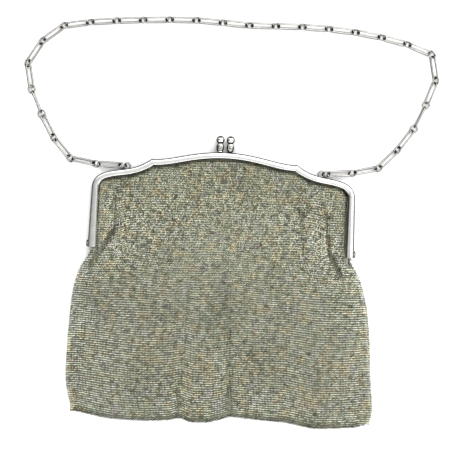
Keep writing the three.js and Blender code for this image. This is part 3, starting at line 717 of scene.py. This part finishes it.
def disc_along_x(radius, from_x, to_x):
    """A short round bar along X at the hinge, with soft rims."""
    soft = 0.15 * MM
    middle, half = (from_x + to_x) / 2, abs(to_x - from_x) / 2
    profile = [(0, -half), (radius - soft, -half), (radius, -half + soft),
               (radius, half - soft), (radius - soft, half), (0, half)]
    points, faces = lathe(profile, 28)
    turned = np.stack([points[:, 1] + middle, points[:, 0] + HINGE_UP, points[:, 2] + MIDDLE], axis=1)
    return turned, faces


def block(low, high):
    """A small block of metal between two corners."""
    (x0, y0, z0), (x1, y1, z1) = low, high
    points = [(x, y, z) for x in (x0, x1) for y in (y0, y1) for z in (z0, z1)]
    faces = [(0, 1, 3, 2), (4, 6, 7, 5), (0, 4, 5, 1), (2, 3, 7, 6), (0, 2, 6, 4), (1, 5, 7, 3)]
    return np.array(points), faces


def ears(side):
    """One half's two hinge ears: outside the arms on the front half, inside them on the back half."""
    outer = side > 0
    face = HALF_SPAN + CLEAR if outer else HALF_SPAN - WALL_SHEET - CLEAR - INNER_EAR_SPARE
    far = face + EAR_SHEET if outer else face - EAR_SHEET
    root = HALF_SPAN - WALL_SHEET * 0.6
    reach = EAR_RADIUS * 0.9
    depths = sorted((MIDDLE + side * HALVES_GAP * 1.5, MIDDLE + side * EAR_RADIUS))
    parts = []
    for hand in (1, -1):
        parts.append(disc_along_x(EAR_RADIUS, hand * face, hand * far))
        x0, x1 = sorted((hand * min(root, far), hand * max(root, far)))
        parts.append(block((x0, HINGE_UP - reach, depths[0]), (x1, HINGE_UP + reach, depths[1])))
    return parts


def ball(hand):
    """A clasp ball, turned from a fine half circle."""
    turn = np.linspace(-np.pi / 2, np.pi / 2, 25)
    profile = [(BALL_RADIUS * math.cos(a), BALL_RADIUS * math.sin(a)) for a in turn]
    top = FRAME_RISE + STEM_HEIGHT + BALL_RADIUS - BALL_SEAT
    return moved(lathe(profile, 40), (hand * BALL_OUT, top, MIDDLE))


def spiral(centre, start, end, turns, begin, hand, height):
    """A scroll: a flat spiral from one radius to another."""
    angle = begin + hand * np.linspace(0, 2 * np.pi * turns, int(26 * turns) + 8)
    radius = np.linspace(start, end, len(angle))
    x = centre[0] + radius * np.cos(angle)
    y = centre[1] + radius * np.sin(angle)
    return np.stack([x, y, np.full(len(angle), height)], axis=1)


def clasp_stem(hand, base, top):
    """A knob's flattened stem, turned from its outline."""
    profile = [(wide * STEM_RADIUS, base + up * (top - base)) for wide, up in STEM_SHAPE]
    turned = lathe([tuple(p) for p in rounded(profile, 0.5 * MM, 3)], 36)
    return moved(turned, (hand * BALL_OUT, 0, MIDDLE), (1, 1, STEM_FLAT))


def clasp_knob(name, hand, side):
    """Ball and flattened stem with a scroll on its front and back, and a foot on one half."""
    base = FRAME_RISE + STEM_UP
    top = FRAME_RISE + STEM_HEIGHT
    half_depth = STEM_RADIUS * STEM_FLAT
    stem = clasp_stem(hand, base, top)
    parts = [stem, ball(hand)]
    centre = (hand * BALL_OUT, base + SCROLL_UP * (top - base))
    begin = math.pi * (0.5 if hand < 0 else 0.35)
    for face in (1, -1):
        height = MIDDLE + face * half_depth
        scroll = spiral(centre, SCROLL_WIDE, SCROLL_TIGHT, SCROLL_TURNS, begin, hand, height)
        parts.append(wire(scroll, SCROLL_WIRE, 8, False, np.linspace(0.7, 1.0, len(scroll))))
    foot = STEM_RADIUS * STEM_FOOT
    near, far = sorted((MIDDLE + side * HALVES_GAP * 1.5, MIDDLE + side * (half_depth + 0.4 * MM)))
    parts.append(block((hand * BALL_OUT - foot, FRAME_RISE - WALL_SHEET * 0.8, near),
                       (hand * BALL_OUT + foot, base + STEM_HEIGHT * 0.2, far)))
    verts, faces = join(parts)
    knob = make_piece(name, verts, faces, CLASP_SILVER)
    # the whole stem gets painted shade, as among its scrollwork
    stem_points = len(stem[0])
    mark_darkening(knob, [STEM_SHADE] * stem_points + [0.0] * (len(verts) - stem_points))
    return knob


def outline_height(x):
    """Height of the frame's outside over a place across it."""
    order = np.argsort(OUTLINE_POINTS[:, 0])
    return float(np.interp(x, OUTLINE_POINTS[order, 0], OUTLINE_POINTS[order, 1]))


EYE_Y = outline_height(EYE_ACROSS) + EYE_RADIUS + EYE_WIRE * 0.4


def circle(centre, radius, across, up, steps):
    """Points of a circle in the plane of two directions."""
    turn = 2 * np.pi * np.arange(steps) / steps
    return np.asarray(centre) + radius * (np.cos(turn)[:, None] * across + np.sin(turn)[:, None] * up)


def chain_eye(hand):
    """An eye of round wire on the frame, for the chain's end ring."""
    centre = (hand * EYE_ACROSS, EYE_Y, EYE_UP)
    path = circle(centre, EYE_RADIUS, np.array([1.0, 0, 0]), np.array([0, 1.0, 0]), 36)
    return wire(path, EYE_WIRE, 12)


def mark_darkening(piece, darkness):
    """How far the metal is darkened at each point, from 0 to 1: painted shade on the frame's arms and the
    clasp stems.
    """
    piece.data.attributes.new("darkening", "FLOAT", "POINT").data.foreach_set("value", darkness)


def frame_half(name, side):
    """One half of the frame: its channel and ears, and on the back half the chain's eyes."""
    band, darkness = channel(side)
    parts = [band, *ears(side)]
    if side < 0:
        parts += [chain_eye(1), chain_eye(-1)]
    verts, faces = join(parts)
    piece = make_piece(name + "_channel", verts, faces, FRAME_SILVER, [name])
    mark_darkening(piece, darkness + [HINGE_DARK] * (len(verts) - len(darkness)))
    return piece


def rivet(name, hand):
    """A hinge rivet with a low dome on each end."""
    inner = HALF_SPAN - WALL_SHEET - 2 * CLEAR - EAR_SHEET - INNER_EAR_SPARE
    outer = HALF_SPAN + 2 * CLEAR + EAR_SHEET
    turn = np.linspace(0, np.pi / 2, 8)
    dome = [(RIVET_HEAD_RADIUS * math.cos(a), RIVET_HEAD * math.sin(a)) for a in turn]
    profile = [(r, inner - h) for r, h in dome[::-1]] + [(RIVET_RADIUS, inner), (RIVET_RADIUS, outer)]
    profile += [(r, outer + h) for r, h in dome]
    profile[0] = (0, profile[0][1])
    points, faces = lathe(profile, 24)
    turned = np.stack([hand * points[:, 1], points[:, 0] + HINGE_UP, points[:, 2] + MIDDLE], axis=1)
    if hand < 0:
        faces = [face[::-1] for face in faces]
    return make_piece(name + "_head", turned, faces, RIVET_SILVER, [name])


# Bag

class BagFront:
    """The front of the bag as the frame has it, smoothed of facets, with the mesh's sharper creases."""

    STEP = 1.5 * MM  # from one measured height to the next
    MARGIN = 3 * MM
    BLUR_INSIDE = 2.0  # both in steps
    BLUR_PAST_EDGE = 3.0

    def __init__(self):
        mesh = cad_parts["mesh_bag"].data
        corners = [v.co for v in mesh.vertices]
        self.tree = BVHTree.FromPolygons(corners, [p.vertices for p in mesh.polygons])
        self.low, self.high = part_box("mesh_bag")
        self.xs = np.arange(self.low.x - self.MARGIN, self.high.x + self.MARGIN, self.STEP)
        self.ys = np.arange(self.low.y - self.MARGIN, self.high.y + self.MARGIN, self.STEP)
        raw = np.array([[self.top_at(x, y) for x in self.xs] for y in self.ys])
        self.heights = self.blurred(raw)
        self.find_sides()

    def look_down(self, x, y):
        """Where a ray from above meets the bag, and the face that it meets."""
        place, _, face, _ = self.tree.ray_cast(Vector((x, y, ABOVE_BAG)), Vector((0, 0, -1)))
        return place, face

    def top_at(self, x, y):
        """Height of the bag's front at a place, or not a number beside the bag."""
        place = self.look_down(x, y)[0]
        return np.nan if place is None else place.z

    def blurred(self, raw):
        """Masked blur, so that the surface keeps its height up to the edges and past them."""
        inside = np.isfinite(raw)
        value, weight = np.where(inside, raw, 0.0), inside.astype(float)

        def spread(grid, kernel):
            for axis in (0, 1):
                grid = np.apply_along_axis(lambda line: np.convolve(line, kernel, "same"), axis, grid)
            return grid

        def mean(blur):
            kernel = np.exp(-0.5 * (np.arange(-6, 7) / blur) ** 2)
            return spread(value, kernel) / np.maximum(spread(weight, kernel), 1e-9)

        return np.where(inside, mean(self.BLUR_INSIDE), mean(self.BLUR_PAST_EDGE))

    def find_sides(self):
        """Both ends of the bag at heights below the frame's corners, and the hem's height across."""
        fine = 0.25 * MM
        self.side_y = np.arange(self.low.y + 8 * MM, 45 * MM, 3 * MM)
        places = np.arange(self.low.x - MM, self.high.x + MM, fine)
        ends = []
        for y in self.side_y:
            hit = [x for x in places if np.isfinite(self.top_at(x, y))]
            ends.append((min(hit), max(hit)))
        self.side_x = np.array(ends)
        self.hem_x = np.arange(self.low.x + 9 * MM, self.high.x - 9 * MM, 4 * MM)
        heights = np.arange(self.low.y - MM, self.low.y + 25 * MM, fine)
        self.hem_y = np.array([min(y for y in heights if np.isfinite(self.top_at(x, y))) for x in self.hem_x])

    def sides(self, y):
        """Left and right ends of the bag at a height."""
        return np.interp(y, self.side_y, self.side_x[:, 0]), np.interp(y, self.side_y, self.side_x[:, 1])

    def hem(self, x):
        """Height of the hem at a place across."""
        return np.interp(x, self.hem_x, self.hem_y)

    def height(self, x, y):
        """Height of the smooth front over the floor, less its creases."""
        across = np.clip((x - self.xs[0]) / self.STEP, 0, len(self.xs) - 1.001)
        up = np.clip((y - self.ys[0]) / self.STEP, 0, len(self.ys) - 1.001)
        i, j = across.astype(int), up.astype(int)
        u, v = across - i, up - j
        grid = self.heights
        lower = grid[j, i] * (1 - u) + grid[j, i + 1] * u
        upper = grid[j + 1, i] * (1 - u) + grid[j + 1, i + 1] * u
        return lower * (1 - v) + upper * v - self.creases(x, y)

    def creases(self, x, y):
        """Depth of the sharp creases at a place."""
        depth = np.zeros_like(x)
        for crease in CREASES:
            start = np.array([crease["from"][0] * HALF_SPAN, crease["from"][1] * MM])
            end = np.array([crease["to"][0] * HALF_SPAN, crease["to"][1] * MM])
            along = end - start
            long = np.linalg.norm(along)
            right, up = x - start[0], y - start[1]
            share = (right * along[0] + up * along[1]) / long ** 2
            aside = (right * along[1] - up * along[0]) / long / (crease["width"] * MM)
            fade = np.clip(share / 0.2, 0, 1) * np.clip((1 - share) / 0.2, 0, 1)
            depth = depth + crease["depth"] * MM * fade * np.exp(-aside ** 2)
        return depth


def slow_noise(x, y, size, seed):
    """A smooth wandering value between about -1 and 1 over the bag."""
    local = np.random.default_rng(seed)
    total = np.zeros_like(x)
    for _ in range(7):
        angle, phase = local.uniform(0, 2 * np.pi, 2)
        rate = 2 * np.pi / (size * local.uniform(0.6, 1.6))
        total = total + np.sin(rate * (x * math.cos(angle) + y * math.sin(angle)) + phase)
    return total / 3.0


def pulled_rows(x, y):
    """How far rows of rings are drawn down beside the creases at the arms."""
    drop = np.zeros_like(x)
    for pull in PULLS:
        beside = (x - pull["at"] * HALF_SPAN) * pull["side"] / (pull["reach"] * MM)
        share = (y / MM - pull["low"]) / (pull["high"] - pull["low"])
        window = np.clip(share / 0.35, 0, 1) * np.clip((1 - share) / 0.45, 0, 1)
        drop = drop + np.where(beside > 0, pull["drop"] * MM * np.exp(-np.maximum(beside, 0)) * window, 0)
    return drop


def under_frame(x, y):
    """How deep the mesh goes in beside the frame's inner edge: 1 at the edge, 0 a few millimetres off."""
    away, weight = np.full(x.shape, 1.0), np.zeros(x.shape)
    for place, inward in zip(OUTLINE_POINTS, OUTLINE_IN):
        here = np.hypot(x - place[0], y - place[1]) - float(band_width(place[1]))
        weight = np.where(here < away, 1 - 0.65 * max(inward[0], 0), weight)
        away = np.minimum(away, here)
    return weight * np.exp(-(np.maximum(away, 0) / TUCK_REACH) ** 2)


def surface_normal(front, x, y):
    """Which way the bag's front faces at each place."""
    near = 0.8 * MM
    fall_x = (front.height(x - near, y) - front.height(x + near, y)) / (2 * near)
    fall_y = (front.height(x, y - near) - front.height(x, y + near)) / (2 * near)
    return unit(np.stack([fall_x, fall_y, np.ones_like(fall_x)], axis=-1))


def ring_lattice(front):
    """The mesh's rings by their centres, row by row, wrapped round the free sides and the hem."""
    left, right = front.sides(np.array([WIDEST_AT]))
    columns = int(round(float((right - left)[0]) / MESH_PITCH))
    rows = int((front.high.y - front.low.y) / MESH_ROW) + 1
    shape = (rows + WRAP, columns + 1 + 2 * WRAP)
    row = np.broadcast_to(np.arange(rows + WRAP)[:, None], shape)
    step = np.arange(-WRAP, columns + 1 + WRAP)[None, :] + 0.5 * (row % 2)

    level = front.high.y - MESH_ROW * np.minimum(row, rows - 1) - FIRST_ROW
    left, right = front.sides(level)
    pitch = (right - left) / columns
    x = left + np.clip(step, 0, columns) * pitch
    y = np.where(level < 0, level * front.hem(x) / front.low.y, level)
    y = y + ROW_DRIFT * slow_noise(x, y, 60 * MM, 3) - pulled_rows(x, y)
    z = front.height(x, y)
    normal = surface_normal(front, x, y)
    along = np.stack([np.gradient(x, axis=1), np.gradient(y, axis=1), np.zeros_like(x)], axis=-1)
    along[np.abs(along[..., 0]) < 1e-6] = (1.0, 0.0, 0.0)

    # past the sides and the hem, rings go round the rolled edge
    past_left = np.clip(-step, 0, WRAP)
    past_right = np.clip(step - columns, 0, WRAP)
    past_hem = np.clip(row - rows + 1, 0, WRAP)
    past = np.maximum.reduce([past_left, past_right, past_hem])
    turn = np.pi * 0.5 * np.clip(past / (WRAP + 0.2), 0, 1)
    sideways = np.sign(past_right) - np.sign(past_left)
    downwards = -1.0 * np.sign(past_hem)
    way = np.stack([sideways, downwards, np.zeros_like(x)], axis=-1)
    normal = normal * np.cos(turn)[..., None] + way * np.sin(turn)[..., None]
    x = x + EDGE_ROLL * np.sin(turn) * sideways
    y = y + EDGE_ROLL * np.sin(turn) * downwards
    half = (z - HEM_BACK) / 2
    z = np.where(turn > 0, HEM_BACK + half + half * np.cos(turn), z)

    # only rings on the bag stay, and round its edges those whose neighbours on it do
    wrapped = sideways != 0
    free = level < FREE_BELOW
    seen = np.array([[np.isfinite(front.top_at(a, b)) for a, b in zip(ra, rb)] for ra, rb in zip(x, y)])
    hem_held = seen[rows - 1][None, :] & (past_hem > 0) & ~wrapped
    side_held = (np.roll(seen, WRAP, axis=1) | np.roll(seen, -WRAP, axis=1)) & wrapped & (past_hem == 0)
    keep = (free | ~wrapped) & (seen | hem_held | (side_held & free))

    # rows that turn under at the hem, and rings round the sides, get painted shade
    edge = 1 - HEM_SHADE * np.clip((row - rows + HEM_ROWS) / (HEM_ROWS - 2), 0, 1)
    rings = {
        "place": np.stack([x, y, z], axis=-1),
        "normal": unit(normal),
        "along": along,
        "pitch": pitch,
        "lean": np.where(row % 2 == 0, 1.0, -1.0),
        "calm": np.clip((CALM_FROM - level) / CALM_OVER, 0, 1),
        "wrapped": wrapped.astype(float),
        "edge": np.where(wrapped, SIDE_SHADE, edge),
        "band": np.where((row // 2) % 2 == 0, 1.0, 0.0),
    }
    return {name: values[keep] for name, values in rings.items()}


def note_surroundings(rings, front):
    """Adds to the rings how each one lies to the frame, the creases and the middle."""
    x, y = rings["place"][:, 0], rings["place"][:, 1]
    rings["strip"] = np.abs(x) / HALF_SPAN
    beside_arm = np.clip((rings["strip"] - NEAT_FROM) / 0.02, 0, 1)
    rings["neat"] = beside_arm * np.clip((y - NEAT_ABOVE) / (10 * MM), 0, 1)
    rings["loose"] = (1.0 - rings["calm"]) * (1 - 0.8 * rings["neat"])
    rings["tucked"] = under_frame(x, y)
    rings["creased"] = np.clip(front.creases(x, y) / CREASE_FULL, 0, 1)


def turned(a, b, angle):
    """Two square directions turned in their plane."""
    c, s = np.cos(angle)[:, None], np.sin(angle)[:, None]
    return a * c + b * s, b * c - a * s


def lay_rings(rings):
    """Each ring's centre, its two own directions and its axis, as it lies in the mesh."""
    place, normal, along = rings["place"], rings["normal"], rings["along"]
    count, calm, loose = len(place), rings["calm"], rings["loose"]
    across = unit(along - normal * (along * normal).sum(-1, keepdims=True))
    up = np.cross(normal, across)
    # squeezed rows lie like shingles: each ring's end lies on the next one's
    roll = np.arccos(np.clip(rings["pitch"] / (2 * (MESH_RING + MESH_WIRE)), 0.8, 1.0))
    patch = slow_noise(place[:, 0], place[:, 1], 14 * MM, 11) + 0.8 * rng.normal(size=count)
    roll = roll * np.where(patch > 0, 1, -1) + np.radians(7 + 6 * loose) * rng.normal(size=count)
    lean = LOOSE_LEAN + (CALM_LEAN - LOOSE_LEAN) * calm * (1 - rings["neat"])
    tilt = rings["lean"] * (lean + np.radians(8 + 6 * loose) * rng.normal(size=count))
    yaw = np.radians(6 + 5 * loose) * rng.normal(size=count)
    under = MESH_UNDER + TUCK_DIP * rings["tucked"]
    astray = (0.07 + 0.05 * loose)[:, None] * MM * rng.normal(size=(count, 3))
    place = place - normal * under[:, None] + astray
    across, up = turned(across, up, yaw)
    across, normal = turned(across, normal, roll)
    up, normal = turned(up, normal, tilt)
    return place, across, up, normal


def ring_tones(rings, place):
    """Brightness of each ring: by itself, by clumps and pairs of rows, and by where it lies, with painted
    light on rows that lean up and painted shade beside the frame, in the creases and round the edges.
    """
    x, y = place[:, 0], place[:, 1]
    clump = slow_noise(x, y, 7 * MM, 21) + 0.8 * slow_noise(x, y, 3.6 * MM, 22)
    banded = np.clip(slow_noise(x, y, 55 * MM, 23), 0, 1) * rings["band"]
    single = RING_SPREAD * (1 - 0.5 * rings["neat"]) * rng.normal(size=len(place))
    tone = np.exp(single) * (1 + CLUMP_SPREAD * clump) * (1 - 0.3 * banded)
    # rows that lean up are painted lighter than rows that lean down, as light falls on them
    tone = np.clip(tone * (1 + PARITY_LIGHTING * rings["lean"]), DARKEST_RING, BRIGHTEST_RING)
    # painted shade beside the frame, in the creases and round the edges
    tone = tone * (1 - TUCK_SHADE * rings["tucked"]) * (1 - CREASE_SHADE * rings["creased"]) * rings["edge"]
    near_arch = np.clip((y - 15 * MM) / (45 * MM), 0, 1)
    near_side = np.clip(rings["strip"] * 2 - 1, 0, 1) * np.clip(-y / (25 * MM), 0, 1)
    return tone * (1 - ARCH_DARK * near_arch) * (1 + SIDE_BRIGHT * near_side)


def ring_points(place, across, up, normal):
    """Points of round wire rings, from their centres and directions: ring, bend, side, place."""
    around = 2 * np.pi * np.arange(RING_BENDS) / RING_BENDS
    section = 2 * np.pi * np.arange(RING_SIDES) / RING_SIDES
    spin = rng.uniform(0, 2 * np.pi, len(place))
    turn = (around[None, :] + spin[:, None])[..., None]
    radial = np.cos(turn) * across[:, None] + np.sin(turn) * up[:, None]
    reach = MESH_RING + MESH_WIRE * np.cos(section)
    rise = MESH_WIRE * np.sin(section)
    return (place[:, None, None] + radial[:, :, None] * reach[None, None, :, None]
            + normal[:, None, None] * rise[None, None, :, None])


def ring_mesh(front):
    """All the rings of the bag's front as a few joined meshes, each a band of rows."""
    rings = ring_lattice(front)
    note_surroundings(rings, front)
    place, across, up, normal = lay_rings(rings)
    tone = ring_tones(rings, place)
    order = np.argsort(-place[:, 1], kind="stable")
    for band, chosen in enumerate(np.array_split(order, MESH_BANDS)):
        points = ring_points(place[chosen], across[chosen], up[chosen], normal[chosen])
        # wire deep in the weave is dark, partly with tarnish and partly with painted shade; wire on top is
        # rubbed bright
        out = points - place[chosen][:, None, None]
        depth = (out * rings["normal"][chosen][:, None, None]).sum(-1)
        depth = depth + 0.5 * MESH_RING * rings["wrapped"][chosen][:, None, None]
        rubbed = np.clip((depth / MESH_RING - RUBBED_FROM) / RUBBED_OVER, 0, 1)
        shade = tone[chosen][:, None, None] * (DEEP_TARNISH_AND_SHADE + (1 - DEEP_TARNISH_AND_SHADE) * rubbed)
        put_rings(f"ring_mesh_{band + 1}", points.reshape(-1, 3), shade)


def put_rings(name, points, tone):
    """One band of rings as a mesh, with each ring's own tone and its painted light and shade."""
    each = RING_BENDS * RING_SIDES
    rings = len(points) // each
    one = np.array(ring_faces(RING_BENDS, RING_SIDES, True))
    faces = (one[None] + (each * np.arange(rings))[:, None, None]).reshape(-1, 4)
    mesh = bpy.data.meshes.new(name)
    mesh.vertices.add(len(points))
    mesh.vertices.foreach_set("co", points.astype(np.float32).ravel())
    mesh.loops.add(faces.size)
    mesh.loops.foreach_set("vertex_index", faces.astype(np.int32).ravel())
    mesh.polygons.add(len(faces))
    mesh.polygons.foreach_set("loop_start", np.arange(0, faces.size, 4, dtype=np.int32))
    mesh.polygons.foreach_set("use_smooth", np.ones(len(faces), bool))
    mesh.update(calc_edges=True)
    attribute = mesh.attributes.new("ring_tone_and_shade", "FLOAT", "POINT")
    attribute.data.foreach_set("value", tone.astype(np.float32).ravel())
    mesh.materials.append(RING_SILVER)
    piece = bpy.data.objects.new(name, mesh)
    bpy.context.scene.collection.objects.link(piece)
    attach(piece, "root")
    return piece


def mesh_shell(front):
    """The bag's hollow skin behind the rings, from the frame's own shape drawn in under them."""
    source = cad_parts["mesh_bag"].data
    mesh = source.copy()
    mesh.name = "mesh_shell"
    mesh.materials.clear()
    mesh.materials.append(SHELL_SILVER)
    behind = mesh.attributes.new("behind_rings", "FLOAT", "POINT")
    for face in source.polygons:
        outward = face.center - Vector((0, BAG_MIDDLE, face.center.z))
        on_side = face.normal.dot(outward) > 0 and abs(face.normal.z) < 0.5
        if on_side or front.look_down(face.center.x, face.center.y)[1] == face.index:
            for index in face.vertices:
                behind.data[index].value = 1.0
    for vertex in mesh.vertices:
        place = vertex.co.copy()
        if place.z > HEM_BACK:
            inward = (Vector((0, BAG_MIDDLE, place.z)) - place).normalized() * SHELL_EDGE_IN
            vertex.co = place + inward - Vector((0, 0, min(SHELL_IN, SHELL_SHARE * place.z)))
    piece = bpy.data.objects.new("mesh_shell", mesh)
    bpy.context.scene.collection.objects.link(piece)
    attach(piece, "root")
    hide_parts("mesh_bag")
    return piece


# Chain

def centripetal(points, steps):
    """A smooth line through the points, by the centripetal Catmull-Rom rule."""
    points = [np.asarray(p, float) for p in points]
    points = [2 * points[0] - points[1], *points, 2 * points[-1] - points[-2]]
    line = []
    spans = len(points) - 3
    for step in range(steps + 1):
        place = spans * step / steps
        i = min(int(place), spans - 1)
        t = place - i
        p0, p1, p2, p3 = points[i:i + 4]
        d0, d1, d2 = (max(np.dot(b - a, b - a) ** 0.25, 1e-9) for a, b in ((p0, p1), (p1, p2), (p2, p3)))
        m1 = ((p1 - p0) / d0 - (p2 - p0) / (d0 + d1) + (p2 - p1) / d1) * d1
        m2 = ((p2 - p1) / d1 - (p3 - p1) / (d1 + d2) + (p3 - p2) / d2) * d1
        cubic = 2 * p1 - 2 * p2 + m1 + m2
        square = 3 * p2 - 3 * p1 - 2 * m1 - m2
        line.append(cubic * t ** 3 + square * t ** 2 + m1 * t + p1)
    return np.array(line)


def ring_centres():
    """Centres of the chain's rings at one spacing along its line, from eye to eye."""
    reach = RING_RADIUS + EYE_RADIUS - 2 * EYE_WIRE - CLEAR
    ends = [np.array([hand * (EYE_ACROSS + reach), EYE_Y, EYE_UP]) for hand in (-1, 1)]
    chosen = [np.array([x * MM, y * MM, CHAIN_UP]) for x, y in CHAIN_ROUTE]
    fine = centripetal([ends[0], *chosen, ends[1]], 4000)
    length = np.linalg.norm(np.diff(fine, axis=0), axis=1).sum()
    count = max(round(length / CHAIN_PITCH), 2)

    def walk(spacing):
        centres = [fine[0]]
        for point in fine:
            if len(centres) <= count and np.linalg.norm(point - centres[-1]) >= spacing:
                centres.append(point)
        return centres

    low, high = 0.5 * CHAIN_PITCH, 1.5 * CHAIN_PITCH
    for _ in range(24):
        spacing = (low + high) / 2
        if len(walk(spacing)) > count:
            low = spacing
        else:
            high = spacing
    return walk(low)[:count] + [ends[1]]


def width_way(along, roll):
    """Way of the width of a link or ring that is rolled about the chain's line."""
    aside = unit(np.cross((0, 0, 1.0), along))
    up = np.cross(along, aside)
    turn = math.radians(roll)
    return aside * math.cos(turn) + up * math.sin(turn)


def link_path(middle, along, width, length):
    """A long link: two straight sides and two short ends with bent corners."""
    bend_x, bend_y = length / 2 - LINK_BEND, LINK_WIDTH / 2 - LINK_BEND
    path = []
    for right, up, begin in ((1, 1, 0), (-1, 1, 90), (-1, -1, 180), (1, -1, 270)):
        for angle in np.radians(begin + np.linspace(0, 90, 6)):
            x = right * bend_x + LINK_BEND * math.cos(angle)
            y = up * bend_y + LINK_BEND * math.sin(angle)
            path.append((x, y))
    path = np.array(path)
    return middle + path[:, :1] * along + path[:, 1:] * width


def chain():
    """The whole chain: rings at one spacing, and a long link from each to the next."""
    centres = ring_centres()
    count = len(centres) - 1
    rolls = [LINK_ROLL + LINK_SWAY * math.sin(2.1 * k) for k in range(count)]
    for share, roll in TURNED_LINKS:
        rolls[int(math.floor(share * (count - 1) + 0.5))] = roll
    parts = []
    inside = RING_RADIUS - WIRE_RADIUS
    for k in range(count):
        span = centres[k + 1] - centres[k]
        long = np.linalg.norm(span)
        along = span / long
        width = width_way(along, rolls[k])
        middle = (centres[k] + centres[k + 1]) / 2
        path = link_path(middle, along, width, long - 2 * (inside - WIRE_RADIUS))
        parts.append(wire(path, LINK_WIRE, 10))
    for k, centre in enumerate(centres):
        along = unit(centres[min(k + 1, count)] - centres[max(k - 1, 0)])
        roll = (rolls[max(k - 1, 0)] + rolls[min(k, count - 1)]) / 2 - RING_LEAN
        width = width_way(along, roll)
        parts.append(wire(circle(centre, RING_RADIUS, along, width, 28), WIRE_RADIUS, 10))
    verts, faces = join(parts)
    return make_piece("chain_links", verts, faces, CHAIN_SILVER, ["chain"])


# Room

def pale_floor():
    """A wide, plain, pale floor just under the purse."""
    mesh = bpy.data.meshes.new("floor")
    corners = [(x * FLOOR_HALF, y * FLOOR_HALF, 0) for x, y in ((-1, -1), (1, -1), (1, 1), (-1, 1))]
    mesh.from_pydata(corners, [], [(0, 1, 2, 3)])
    material = bpy.data.materials.new("pale_floor")
    material.use_nodes = True
    shader = next(n for n in material.node_tree.nodes if n.type == "BSDF_PRINCIPLED")
    shader.inputs["Base Color"].default_value = (FLOOR_TONE, FLOOR_TONE, FLOOR_TONE, 1)
    shader.inputs["Roughness"].default_value = 0.6
    shader.inputs["Specular IOR Level"].default_value = 0.2
    mesh.materials.append(material)
    floor = bpy.data.objects.new("floor", mesh)
    bpy.context.scene.collection.objects.link(floor)
    floor.location.z = -FLOOR_UNDER


def ramp_of(tree, value, steps):
    """Brightness along one direction of the room, from (place, brightness) steps."""
    ramp = tree.nodes.new("ShaderNodeValToRGB")
    ramp.color_ramp.interpolation = "EASE"
    while len(ramp.color_ramp.elements) < len(steps):
        ramp.color_ramp.elements.new(0.5)
    for element, (place, bright) in zip(ramp.color_ramp.elements, steps):
        element.position = (place + 1) / 2
        element.color = (bright, bright, bright, 1)
    tree.links.new(math_node(tree, "MULTIPLY_ADD", value, 0.5, 0.5), ramp.inputs["Fac"])
    return ramp.outputs["Color"]


def soft_lamp(name, place, size, watts):
    """A square soft light that faces the middle of the purse."""
    data = bpy.data.lights.new(name, "AREA")
    data.size = size
    data.energy = watts
    lamp = bpy.data.objects.new(name, data)
    bpy.context.scene.collection.objects.link(lamp)
    lamp.location = place
    lamp.rotation_euler = (Vector(KEY_AIM) - Vector(place)).to_track_quat("-Z", "Y").to_euler()


def studio_light():
    """A pale room with bright bands above and below the purse in the picture, and a soft key light."""
    world = bpy.data.worlds.new("studio")
    bpy.context.scene.world = world
    world.use_nodes = True
    tree = world.node_tree
    back = next(n for n in tree.nodes if n.type == "BACKGROUND")
    way = tree.nodes.new("ShaderNodeSeparateXYZ")
    tree.links.new(tree.nodes.new("ShaderNodeTexCoord").outputs["Generated"], way.inputs[0])
    across = ramp_of(tree, way.outputs["X"], ROOM_ACROSS)
    updown = ramp_of(tree, way.outputs["Y"], ROOM_UPDOWN)
    color = mix_color(tree, 1.0, across, updown, "MULTIPLY")
    tree.links.new(color, back.inputs["Color"])
    back.inputs["Strength"].default_value = ROOM_LIGHT
    soft_lamp("key_light", KEY_PLACE, KEY_SIZE, KEY_WATTS)


def camera():
    """Straight above the purse, turned and moved so that the purse lies as in the photograph."""
    data = bpy.data.cameras.new("camera")
    data.sensor_width = SENSOR
    data.lens = SENSOR * CAMERA_HEIGHT / (PICTURE * PIXEL)
    dx = (PICTURE / 2 - PURSE_ORIGIN[0]) * PIXEL
    dy = -(PICTURE / 2 - PURSE_ORIGIN[1]) * PIXEL
    x = dx * math.cos(PURSE_TURN) - dy * math.sin(PURSE_TURN)
    y = dx * math.sin(PURSE_TURN) + dy * math.cos(PURSE_TURN)
    eye = bpy.data.objects.new("camera", data)
    bpy.context.scene.collection.objects.link(eye)
    eye.location = (x, y, CAMERA_HEIGHT + MIDDLE)
    eye.rotation_euler = (0, 0, PURSE_TURN)
    bpy.context.scene.camera = eye


camera()
pale_floor()
studio_light()
bpy.context.scene.view_settings.view_transform = "Standard"
bpy.context.scene.view_settings.look = "High Contrast"

frame_half("frame_front", 1)
frame_half("frame_back", -1)
clasp_knob("clasp_knob_left", -1, 1)
clasp_knob("clasp_knob_right", 1, -1)
rivet("hinge_rivet_right", 1)
rivet("hinge_rivet_left", -1)
bag_front = BagFront()
ring_mesh(bag_front)
mesh_shell(bag_front)
chain()
